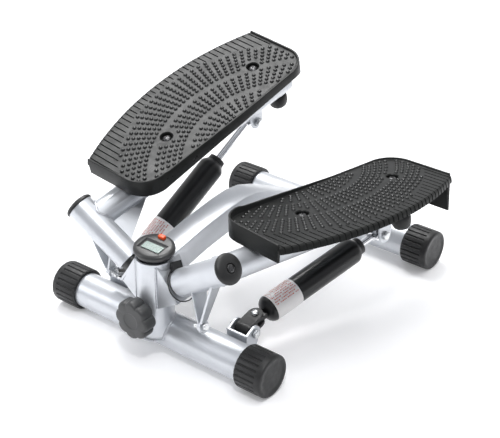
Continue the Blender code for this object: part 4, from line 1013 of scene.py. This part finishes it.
def pedal(side):
    place, origin = SIDES[side] @ PEDAL, STATIC[side] @ AXIS_P
    fillet = 0.0022
    insets = (0.0, 0.0, 0.0003, 0.0009, WALL_T - 0.0009, WALL_T - 0.0003, WALL_T, WALL_T, WALL_T + fillet * 0.3, WALL_T + fillet)
    paths = [fine_outline(k) for k in insets] + [fine_outline(WALL_T + fillet), fine_outline(WALL_T)]
    bm = bmesh.new()
    rows = []
    for i, (ou, ov) in enumerate(paths[0]):
        lip, skirt = wall_heights(ou, ov)
        low = min(fillet, lip * 0.6)
        heights = (-skirt, lip - 0.0009, lip - 0.0003, lip, lip, lip - 0.0003, lip - 0.0009, low, low * 0.3, 0.0, -FLOOR_T, -skirt)
        rows.append([bm.verts.new((paths[k][i][1], paths[k][i][0], h)) for k, h in enumerate(heights)])
    for a, b in zip(rows, rows[1:]):
        for i in range(12):
            j = (i + 1) % 12
            bm.faces.new((a[i], a[j], b[j], b[i]))
    bm.faces.new(rows[0])
    bm.faces.new(list(reversed(rows[-1])))
    tread = add(f"{side}_pedal", bm, PLASTIC, place, origin)
    extras = []
    # tread floor with recesses and grooves
    mid = fine_outline(WALL_T + fillet * 0.5)
    edge = [(u, outer_edge(u)) for u in (PEDAL_L * (1 - i / 60) for i in range(61))]
    edge[0] = (PEDAL_L - WALL_T / 2, PEDAL_W)
    edge[-1] = (WALL_T / 2, PEDAL_W)
    outline = mid[1:-1] + edge
    floor = add(f"{side}_pedal_floor", prism([(v, u) for u, v in outline], (0, 0, -FLOOR_T), X, Y, Z, FLOOR_T), PLASTIC, place, origin, rides=f"{side}_pedal")
    cuts = bmesh.new()
    for u in BOLT_U:
        lathe([(0, 0.0034), (0.0050, 0.0034), (0.0050, 0.0086), (0.0088, 0.0088), (0.0102, 0.0098), (0.0150, 0.0098)], (BOLT_V, u, -0.0102), Z, 24, bm=cuts)
    for i in range(GROOVES):
        u = PEDAL_L * (i + 0.75) / (GROOVES + 0.5)
        v0, v1 = groove_limit(u), outer_edge(u) + 0.0060
        if v1 - v0 > 0.009:
            box(((v0 + v1) / 2, u, 0.0), ((v1 - v0) / 2, 0.00085, 0.0015), bm=cuts)
    boolean(floor, helper(f"{side}_floor_cuts", cuts, place), "DIFFERENCE")
    extras.append(floor)
    # bolt bosses under the floor
    bosses = bmesh.new()
    for u in BOLT_U:
        ring_solid([(-0.0090, 0.0130), (-0.0015, 0.0130), (-0.0015, 0.0089), (-0.0060, 0.0089), (-0.0060, 0.0030), (-0.0090, 0.0030)], (BOLT_V, u, 0), Z, 20, bm=bosses)
    extras.append(add(f"{side}_pedal_boss", bosses, PLASTIC, place, origin, rides=f"{side}_pedal"))
    # rolled outer edge, notched by the grooves
    section = ((-0.0060, -0.0001), (-0.0006, -0.0001), (0.0010, -0.0007), (0.0020, -0.0018), (0.0027, -0.0034), (0.0038, -0.0090), (0.0020, -0.0092), (0.0006, -0.0048), (-0.0012, -0.0034), (-0.0060, -0.0032))
    pitch = PEDAL_L / (GROOVES + 0.5)
    stations = [(WALL_T * 0.4, 0.0)]
    for i in range(GROOVES + 1):
        u = pitch * (i + 0.75)
        for du, cut in ((-0.0013, 0.0), (-0.0009, 1.0), (0.0009, 1.0), (0.0013, 0.0)):
            if WALL_T * 0.5 < u + du < PEDAL_L - WALL_T * 0.5:
                stations.append((u + du, cut))
        if u + pitch / 2 < PEDAL_L - WALL_T:
            stations.append((u + pitch / 2, 0.0))
    stations.append((PEDAL_L - WALL_T * 0.4, 0.0))
    roll = bmesh.new()
    rows = []
    for u, cut in stations:
        row = []
        for k, (a, b) in enumerate(section):
            outer_side = k < 6
            row.append(roll.verts.new((outer_edge(u) + a - (0.0011 * cut if 1 < k < 6 else 0.0), u, b - (0.0013 * cut if k < 3 else (0.0005 * cut if outer_side else 0.0)))))
        rows.append(row)
    for a, b in zip(rows, rows[1:]):
        for i in range(len(section)):
            j = (i + 1) % len(section)
            roll.faces.new((a[i], a[j], b[j], b[i]))
    roll.faces.new(rows[0])
    roll.faces.new(list(reversed(rows[-1])))
    extras.append(add(f"{side}_pedal_roll", roll, PLASTIC, place, origin, rides=f"{side}_pedal"))
    # nubs in arcs that fan out towards the ends, with two plain bands
    nubs = bmesh.new()
    steps, turns = 4, 12
    for k in range(-6, 14):
        if k in (0, 6):
            continue
        radius, centre = 0.1340 + 0.0110 * k, -0.0920 - 0.00417 * k
        step = 0.0100 / (0.1010 if k < 0 else 0.1680 if k < 6 else 0.2350)
        half = int(1.4 / step) + 1
        for m in range(-half, half + 1):
            a = m * step
            if abs(a) > 1.35:
                continue
            u, v = 0.1745 + radius * math.sin(a), centre + radius * math.cos(a)
            inner = 0.0074
            if not (inner < u < PEDAL_L - inner and inner < v < groove_limit(u) - 0.0035 and v < outer_edge(u) - 0.008):
                continue
            corner = False
            for cu in (CORNER_R, PEDAL_L - CORNER_R):
                if (u < CORNER_R if cu == CORNER_R else u > cu) and v < CORNER_R:
                    corner = corner or math.hypot(u - cu, v - CORNER_R) > CORNER_R - inner
            if corner or any(math.hypot(u - b, v - BOLT_V) < 0.0135 for b in BOLT_U):
                continue
            rings = []
            for s in range(steps):
                e = math.pi / 2 * s / steps
                r, h = 0.0030 * math.cos(e), -0.0002 + 0.0026 * math.sin(e)
                rings.append([nubs.verts.new((v + r * math.cos(2 * math.pi * t / turns), u + r * math.sin(2 * math.pi * t / turns), h)) for t in range(turns)])
            for p, q in zip(rings, rings[1:]):
                for t in range(turns):
                    w = (t + 1) % turns
                    nubs.faces.new((p[t], p[w], q[w], q[t]))
            nubs.faces.new(rings[-1])
    extras.append(add(f"{side}_pedal_nubs", nubs, NUB, place, origin, rides=f"{side}_pedal"))
    # stiffening ribs under the tread
    under = bmesh.new()
    for v in (0.030, 0.088):
        box((v, PEDAL_L / 2, -0.0075), (0.0010, PEDAL_L / 2 - 0.0040, 0.0045), bm=under)
    for u in (0.050, 0.145, 0.190, 0.235, 0.310):
        box((0.060, u, -0.0070), (0.0540, 0.0010, 0.0040), bm=under)
    extras.append(add(f"{side}_pedal_ribs", under, PLASTIC, place, origin, rides=f"{side}_pedal"))
    join_into(tread, extras)
    for k, u in enumerate(BOLT_U):
        screw = lathe([(-0.0150, 0.0), (-0.0150, 0.0030), (-0.0049, 0.0030), (-0.0049, 0.0066), (-0.0040, 0.0065), (-0.0030, 0.0058), (-0.0020, 0.0044), (-0.0016, 0.0034), (-0.0014, 0.0)], (BOLT_V, u, 0), Z, 14)
        bolt = add(f"{side}_pedal_bolt_{('front', 'rear')[k]}", screw, DARK_BOLT, place, origin)
        slots = bmesh.new()
        turn = Matrix.Rotation(math.radians(31 + 40 * k), 3, "Z")
        for half in ((0.0034, 0.0006, 0.0012), (0.0006, 0.0034, 0.0012)):
            cross = bmesh.new()
            box((BOLT_V, u, -0.0014), half, turn, bm=cross)
            boolean(bolt, helper(f"{side}_cross_{k}_{half[0]}", cross, place), "DIFFERENCE")
        slots.free()


# ---------------------------------------------------------------- hydraulic cylinders
def cylinder_pose(side):
    """Pins and directions of one cylinder with its arm where the design frame holds it."""
    foot = STATIC[side] @ FOOT_PIN
    eye = SIDES[side] @ local(*ROD_PIN)
    span = eye - foot
    tilt = math.atan2(span.z, span.y)
    e = Vector((0, math.cos(tilt), math.sin(tilt)))
    n = Vector((0, -math.sin(tilt), math.cos(tilt)))
    elbow = foot + e * LINK
    f = (eye - elbow).normalized()
    return foot, elbow, eye, e, n, f


def cylinder(side):
    foot, elbow, eye, e, n, f = cylinder_pose(side)
    sx = SIDE_SIGN[side]
    # foot bracket: a channel on the back of the front tube
    y0 = TUBE_R + GAP
    bracket = add(f"{side}_cylinder_bracket", box((foot.x, y0 + 0.0015, BASE_Z + 0.0060), (0.0168, 0.0015, 0.0150)), PAINT)
    ears = []
    for k, s in enumerate((-1, 1)):
        outline = [(y0 + 0.0010, BASE_Z - 0.0088), (foot.y + 0.0040, BASE_Z - 0.0020)] + [
            (foot.y + 0.0110 * math.cos(a), foot.z + 0.0110 * math.sin(a)) for a in (math.radians(-30 + 24 * i) for i in range(7))
        ] + [(y0 + 0.0010, BASE_Z + 0.0205)]
        boolean(bracket, helper(f"{side}_ear{k}", prism(outline, (foot.x + s * 0.0153 - 0.0015, 0, 0), Y, Z, X, 0.0030)), "UNION")
    boolean(bracket, helper(f"{side}_ear_hole", rod(foot - X * 0.03, foot + X * 0.03, 0.0044, 16)), "DIFFERENCE")
    add(f"{side}_foot_bolt", hex_bolt(foot + X * sx * 0.0222, -X * sx, 0.0066, 0.0045, 0.0040, 0.0450, nut=(0.0395, 0.0045)), ZINC)

    # clevis block between the ears
    rot = Matrix((X, e, n)).transposed()
    clevis = add(f"{side}_clevis", box(foot + e * (LINK / 2), (0.0110, LINK / 2, 0.0088), rot), RUBBER, origin=foot)
    boolean(clevis, helper(f"{side}_clevis_a", rod(foot - X * 0.0109, foot + X * 0.0109, 0.0095, 16, n)), "UNION")
    boolean(clevis, helper(f"{side}_clevis_b", rod(elbow - n * 0.0087, elbow + n * 0.0087, 0.0108, 20, e)), "UNION")
    boolean(clevis, helper(f"{side}_clevis_slot", box(elbow + e * 0.0040, (0.0200, 0.0140, 0.0042), rot)), "DIFFERENCE")
    boolean(clevis, helper(f"{side}_clevis_h1", rod(foot - X * 0.03, foot + X * 0.03, 0.0044, 16, n)), "DIFFERENCE")
    boolean(clevis, helper(f"{side}_clevis_h2", rod(elbow - n * 0.02, elbow + n * 0.02, 0.0034, 16, e)), "DIFFERENCE")
    add(f"{side}_clevis_bolt", hex_bolt(elbow + n * 0.0122, -n, 0.0050, 0.0032, 0.0030, 0.0230, nut=(0.0210, 0.0020)), ZINC, origin=foot)

    # barrel with a flat eye at its foot
    side_v = n.cross(f).normalized()
    barrel = add(
        f"{side}_barrel",
        lathe([(0.0128, 0.0064), (0.0138, 0.0076), (0.0150, 0.0102), (0.0162, 0.0130), (0.0178, 0.0154), (0.0198, 0.0173), (0.0220, 0.0184), (0.0245, SHELL_R), (SHELL_TOP - 0.001, SHELL_R),
               (SHELL_TOP + 0.0020, 0.0184), (SHELL_TOP + 0.0045, 0.0174), (SHELL_TOP + 0.0070, 0.0156), (SHELL_TOP + 0.0086, 0.0141), (SHELL_TOP + 0.0100, 0.0134), (SHELL_TOP + 0.0100, 0.0100), (0.0300, 0.0100), (0.0280, 0.0)],
              elbow, f, 28, side_v),
        GLOSS, origin=elbow)
    boolean(barrel, helper(f"{side}_eye", rod(elbow - n * 0.0036, elbow + n * 0.0036, 0.0085, 20, f)), "UNION")
    flat = f.cross(n).normalized()
    boolean(barrel, helper(f"{side}_tang", box(elbow + f * 0.0085, (0.0080, 0.0085, 0.0035), Matrix((flat, f, n)).transposed())), "UNION")
    boolean(barrel, helper(f"{side}_eye_hole", rod(elbow - n * 0.01, elbow + n * 0.01, 0.0034, 16, f)), "DIFFERENCE")
    add(f"{side}_label", ring_solid([(0.0245, SHELL_R + 0.0007), (0.0690, SHELL_R + 0.0007), (0.0690, SHELL_R + 0.0003), (0.0245, SHELL_R + 0.0003)], elbow, f, 28, side_v), LABEL, origin=elbow)
    top = SHELL_TOP + 0.0103
    add(f"{side}_gland",
        ring_solid([(top - 0.0100, 0.0097), (top, 0.0097), (top, 0.0128), (top + 0.0070, 0.0120), (top + 0.0075, ROD_R + GAP), (top - 0.0100, ROD_R + GAP)],
                   elbow, f, 16, side_v),
        RUBBER, origin=elbow)

    # rod with piston and ball eye
    reach = (eye - elbow).length
    foot_s = reach - ROD_LEN
    rod_obj = add(f"{side}_piston_rod",
        lathe([(foot_s, 0.0), (foot_s, 0.0096), (foot_s + 0.0080, 0.0096), (foot_s + 0.0080, ROD_R), (reach - 0.0130, ROD_R), (reach - 0.0120, 0.0068), (reach - 0.0060, 0.0068), (reach - 0.0060, 0.0)],
              elbow, f, 16, side_v),
        CHROME, origin=elbow)
    pin_axis = (SIDES[side].to_3x3() @ EX).normalized()
    eye_axis = (pin_axis - f * pin_axis.dot(f)).normalized()
    boolean(rod_obj, helper(f"{side}_rod_eye", rod(eye - eye_axis * 0.0055, eye + eye_axis * 0.0055, 0.0105, 20, f)), "UNION")
    boolean(rod_obj, helper(f"{side}_rod_hole", rod(eye - eye_axis * 0.02, eye + eye_axis * 0.02, 0.0066, 16, f)), "DIFFERENCE")


# ---------------------------------------------------------------- step cable over the pulley
def step_cable():
    """The cable in three lengths: one to each arm and the turn round the pulley."""
    tips = [SIDES[s] @ (CABLE_TIP - TIP_AXIS * 0.0100) for s in ("left", "right")]
    r = PULLEY_R - 0.0020

    def tangent(tip, sign):
        d = Vector((tip.x - PULLEY.x, tip.y - PULLEY.y))
        return math.atan2(d.y, d.x) + sign * math.acos(r / d.length)

    a0, a1 = tangent(tips[0], -1), tangent(tips[1], 1)
    while a0 < a1:
        a0 += 2 * math.pi
    on = [Vector((PULLEY.x + r * math.cos(a), PULLEY.y + r * math.sin(a), PULLEY.z)) for a in (a0 + (a1 - a0) * i / 60 for i in range(61))]
    on = [on[0] + (on[0] - on[1]).normalized() * 0.0050] + on + [on[-1] + (on[-1] - on[-2]).normalized() * 0.0050]
    add("cable_turn", tube_mesh(on, 0.0015, 12), CABLE, rides="pulley_yoke")
    for side, tip, near in (("left", tips[0], on[0].lerp(on[1], 0.25)), ("right", tips[1], on[-1].lerp(on[-2], 0.25))):
        end = tip + (near - tip).normalized() * 0.0045
        points = [near.lerp(end, i / 40) for i in range(41)]
        bm = tube_mesh(points, 0.0015, 12)
        # a swaged sleeve on the cable by the bolt
        tube_mesh([near.lerp(end, 0.86 + 0.02 * i) for i in range(8)], 0.0026, 14, bm=bm)
        bmesh.ops.recalc_face_normals(bm, faces=bm.faces)
        run = mesh_object(f"v_cable_{side}", bm)
        run.data.materials.append(CABLE)
        smooth(run.data)
        RUNS.append((run, side, near + SHIFT, end + SHIFT))


RUNS = []


for side in ("left", "right"):
    swivel_arm(side)
    pedal(side)
    cylinder(side)
step_cable()
for side in ("left", "right"):
    PIECES[f"v_{side}_cap_screw"][0].data.materials.clear()
    PIECES[f"v_{side}_cap_screw"][0].data.materials.append(DARK_BOLT)

# ---------------------------------------------------------------- weld beads
def circle_on_tube(y0, z0, tube_r, cx, cy, r, count=72, lift=0.0):
    """Where an upright cylinder meets the top of a tube along X."""
    out = []
    for i in range(count):
        a = 2 * math.pi * i / count
        x, y = cx + r * math.cos(a), cy + r * math.sin(a)
        out.append((x, y, z0 + math.sqrt(max(0.0, tube_r**2 - (y - y0) ** 2)) + lift))
    return out


weld("column_foot", circle_on_tube(0.0, BASE_Z, TUBE_R, 0.0, COL_Y, COL_R, lift=0.0003), 0.0021, "front_column", closed=True)
for s in (-1, 1):
    name = "left" if s < 0 else "right"
    weld(f"{name}_column_plate", [(s * (0.0178 + 0.0003 * math.sin(i * 2.1)), PLATE_Y - 0.0006, 0.1440 - 0.0031 * i) for i in range(21)], 0.0015, f"{name}_pivot_bracket")
# beam on the rear tube
rear_side = [(sx * BEAM_HALF, REAR_Y - math.sqrt(max(0.0, TUBE_R**2 - (z - BASE_Z) ** 2)), z) for sx, z in [(-1, BASE_Z + 0.0020 + 0.0035 * i) for i in range(6)]]
for s in (-1, 1):
    weld(f"beam_rear_{'l' if s < 0 else 'r'}", [(s * (BEAM_HALF + 0.0004), REAR_Y - math.sqrt(TUBE_R**2 - (z - BASE_Z) ** 2) - 0.0004, z) for z in (BASE_Z + 0.0040 + 0.0024 * i for i in range(9))], 0.0018, "main_beam")
top_z = BASE_Z + 0.0232
weld("beam_rear_top", [(x, REAR_Y - math.sqrt(TUBE_R**2 - (top_z - BASE_Z) ** 2) - 0.0010, top_z + 0.0016) for x in (-BEAM_HALF + 0.001 * 2 * i for i in range(20))], 0.0017, "main_beam")
for s in (-1, 1):
    weld(f"beam_front_{'l' if s < 0 else 'r'}", [(s * (BEAM_HALF + 0.0002), 0.0038, 0.1190 + 0.0036 * i) for i in range(8)], 0.0014, "main_beam")


def tube_on_sleeve(side):
    """The seam where the arm tube leaves the sleeve."""
    start, end = axis_point(ARM_T), local(*ARM_END)
    run = (end - start).normalized()
    x, y, z = frame_of(run, AXIS_D)
    out = []
    for i in range(72):
        a = 2 * math.pi * i / 72
        p = start + (x * math.cos(a) + y * math.sin(a)) * ARM_R
        # slide along the tube until the sleeve's surface
        lo, hi = 0.0, 0.06
        for _ in range(30):
            m = (lo + hi) / 2
            q = p + run * m - AXIS_P
            away = (q - AXIS_D * q.dot(AXIS_D)).length
            if away < SLEEVE_R:
                lo = m
            else:
                hi = m
        out.append(p + run * (lo + 0.0003))
    weld(f"{side}_arm_seam", out, 0.0018, f"{side}_arm", closed=True, place=SIDES[side])
    # along the gusset
    g1, g2 = axis_point(0.0450), start + run * 0.1150
    normal = AXIS_D.cross(run).normalized()
    inward = (g1 - start).normalized()
    radial = (run - AXIS_D * run.dot(AXIS_D)).normalized()
    out_v = (-(AXIS_D - run * AXIS_D.dot(run))).normalized()
    for k, sgn in enumerate((-1, 1)):
        a = axis_point(0.0480) + radial * SLEEVE_R + normal * sgn * 0.0020
        b = axis_point(0.0850) + radial * SLEEVE_R + normal * sgn * 0.0020
        weld(f"{side}_gusset_a{k}", [a.lerp(b, i / 8) for i in range(9)], 0.0012, f"{side}_arm", place=SIDES[side])
        a = start + run * 0.0420 + out_v * ARM_R + normal * sgn * 0.0020
        b = start + run * 0.0980 + out_v * ARM_R + normal * sgn * 0.0020
        weld(f"{side}_gusset_b{k}", [a.lerp(b, i / 8) for i in range(9)], 0.0012, f"{side}_arm", place=SIDES[side])


for side in ("left", "right"):
    tube_on_sleeve(side)
    sx = SIDE_SIGN[side]
    c = STATIC[side] @ FOOT_PIN
    weld(f"{side}_bracket_seam", [(c.x + 0.0165 * (i / 5 - 1), 0.0262 - 0.0022, BASE_Z + 0.0118 + 0.0096) for i in range(11)], 0.0012, f"{side}_cylinder_bracket")

# ---------------------------------------------------------------- printed marks on the cylinder labels
for side in ("left", "right"):
    foot, elbow, eye, e, n, f = cylinder_pose(side)
    across_v = n.cross(f).normalized()
    up_v = f.cross(across_v).normalized()
    rr = SHELL_R + 0.00085

    def at(s, a):
        return elbow + f * s + (across_v * math.cos(a) + up_v * math.sin(a)) * rr

    marks = []
    for turn in (0.0, math.pi):
        base = turn + math.radians(50)
        for row in range(9):
            a0 = base + math.radians(10.5) * row
            cursor = 0.0345 if row < 5 else 0.0275
            k = row * 3
            while cursor < 0.0655:
                length = 0.0007 + 0.0005 * ((row * 5 + k * 3) % 4)
                stop = min(cursor + length, 0.0665)
                if (row * 7 + k * 5) % 6:
                    marks.append([at(cursor, a0), at(stop, a0), at(stop, a0 + 0.078), at(cursor, a0 + 0.078)])
                cursor = stop + 0.0008
                k += 1
        # a plain outlined triangle without a sign in it
        tri = [(0.0265, base + 0.20), (0.0265, base + 0.95), (0.0312, base + 0.575)]
        for i in range(3):
            (s0, t0), (s1, t1) = tri[i], tri[(i + 1) % 3]
            ds, dt = s1 - s0, (t1 - t0) * rr
            size = math.hypot(ds, dt)
            os_, ot = -dt / size * 0.00035, ds / size * 0.00035 / rr
            steps = 5
            for j in range(steps):
                p, q = j / steps, (j + 1) / steps
                marks.append([at(s0 + ds * p, t0 + (t1 - t0) * p), at(s0 + ds * q, t0 + (t1 - t0) * q), at(s0 + ds * q + os_, t0 + (t1 - t0) * q + ot), at(s0 + ds * p + os_, t0 + (t1 - t0) * p + ot)])
    patch(f"{side}_label_marks", marks, INK, f"{side}_label")

# ---------------------------------------------------------------- small slot in the column's collar, drawn as dark discs: painted shade for the opening
slot = bmesh.new()
for x in (-0.0016, 0.0, 0.0016):
    lathe([(-0.0006, 0.0), (-0.0006, 0.0013), (0.0, 0.0013), (0.0, 0.0)], (x, COL_Y - COL_R + 0.0004, 0.1450), -Y, 10, bm=slot)
add("collar_slot", slot, SHADE_BLACK, rides="front_column")

# ---------------------------------------------------------------- settle every piece on the frame
bpy.context.view_layer.update()
graph = bpy.context.evaluated_depsgraph_get()
joined = {name: [bpy.data.objects[o] for o in obj["joined"]] for name, (obj, _, _, _) in PIECES.items() if "joined" in obj}
ready = {}
for obj in [o for o, _, _, _ in PIECES.values()] + [o for group in joined.values() for o in group]:
    ready[obj.name] = bpy.data.meshes.new_from_object(obj.evaluated_get(graph))
for name, (obj, node, body, slot_name) in list(PIECES.items()):
    mesh = ready[name]
    if name in joined:
        whole = bmesh.new()
        whole.from_mesh(mesh)
        for face in whole.faces:
            face.material_index = 0
        for other in joined[name]:
            before = len(whole.faces)
            whole.from_mesh(ready[other.name])
            whole.faces.ensure_lookup_table()
            for face in whole.faces[before:]:
                face.material_index = 1 if other.name.endswith("_nubs") else 0
        whole.to_mesh(mesh)
        whole.free()
    if obj.type == "CURVE":
        made = bpy.data.objects.new(name + "_solid", mesh)
        made.location = obj.location
        bpy.context.scene.collection.objects.link(made)
        bpy.data.objects.remove(obj, do_unlink=True)
        obj = made
    else:
        obj.modifiers.clear()
        obj.data = mesh
    numbers = [poly.material_index if name.endswith("_pedal") else 0 for poly in mesh.polygons]
    first = mesh.materials[0]
    mesh.materials.clear()
    mesh.materials.append(first)
    if name.endswith("_pedal"):
        mesh.materials.append(NUB)
    for poly, number in zip(mesh.polygons, numbers):
        poly.material_index = number
    smooth(mesh)
    PIECES[name] = (obj, node, body, slot_name)
for group in joined.values():
    for other in group:
        bpy.data.objects.remove(other, do_unlink=True)
for obj in HELPERS:
    bpy.data.objects.remove(obj, do_unlink=True)
bpy.context.view_layer.update()
for obj, node, body, slot_name in PIECES.values():
    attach(obj, body)
    if node:
        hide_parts(node)
for run, side, near, end in RUNS:
    bpy.context.view_layer.update()
    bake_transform(run)
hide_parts("step_cable")


# ---------------------------------------------------------------- floor and light
floor_mat = bpy.data.materials.new("floor_paper")
floor_mat.use_nodes = True
n = Nodes(floor_mat.node_tree)
shader = floor_mat.node_tree.nodes["Principled BSDF"]
coord = n.new("ShaderNodeTexCoord").outputs["Object"]
n.link(n.mix(n.noise(coord, 3.0, 3.0), (0.90, 0.90, 0.91), (0.93, 0.93, 0.935)), shader.inputs["Base Color"])
shader.inputs["Roughness"].default_value = 0.75
shader.inputs["Specular IOR Level"].default_value = 0.2
shader.inputs["Emission Color"].default_value = (1.0, 1.0, 1.0, 1.0)
shader.inputs["Emission Strength"].default_value = 0.16
bm = bmesh.new()
bmesh.ops.create_grid(bm, x_segments=2, y_segments=2, size=8.0)
mesh = bpy.data.meshes.new("floor")
bm.to_mesh(mesh)
bm.free()
floor = bpy.data.objects.new("floor", mesh)
mesh.materials.append(floor_mat)
bpy.context.scene.collection.objects.link(floor)

world = bpy.data.worlds.new("studio")
bpy.context.scene.world = world
world.use_nodes = True
wn = Nodes(world.node_tree)
back = world.node_tree.nodes["Background"]
direction = wn.new("ShaderNodeTexCoord").outputs["Generated"]
parts = wn.new("ShaderNodeSeparateXYZ")
wn.link(direction, parts.inputs[0])
height = wn.spread(parts.outputs["Z"], 0.0, 1.0, -0.05, 0.60)
forward = wn.math("ADD", wn.math("MULTIPLY", parts.outputs["X"], -0.62), wn.math("MULTIPLY", parts.outputs["Y"], 0.785))
depth = wn.spread(forward, 0.0, 1.0, -0.45, 0.45)
near_sky = wn.mix(height, (0.16, 0.165, 0.18), (0.52, 0.53, 0.56))
far_sky = wn.mix(height, (0.62, 0.63, 0.66), (1.05, 1.05, 1.06))
wn.link(wn.mix(depth, near_sky, far_sky), back.inputs["Color"])
back.inputs["Strength"].default_value = 1.0


def area(name, place, aim, size, power, colour=(1.0, 1.0, 1.0)):
    data = bpy.data.lights.new(name, "AREA")
    data.shape = "RECTANGLE"
    data.size, data.size_y = size
    data.energy = power
    data.color = colour
    lamp = bpy.data.objects.new(name, data)
    lamp.location = place
    lamp.rotation_euler = (Vector(aim) - Vector(place)).to_track_quat("-Z", "Y").to_euler()
    bpy.context.scene.collection.objects.link(lamp)


area("key", (-0.9, 0.6, 1.9), (0.0, 0.0, 0.1), (0.9, 0.9), 30.0)
area("top", (0.3, -0.2, 2.1), (0.0, 0.0, 0.1), (1.2, 1.2), 12.0)
area("glint", (0.75, -0.95, 2.0), (0.0, 0.0, 0.1), (0.22, 0.22), 12.0)
area("fill", (-1.5, -1.4, 0.9), (0.0, 0.0, 0.1), (0.5, 1.0), 7.0, (0.96, 0.97, 1.0))

bpy.context.scene.view_settings.view_transform = "Standard"
note_size()
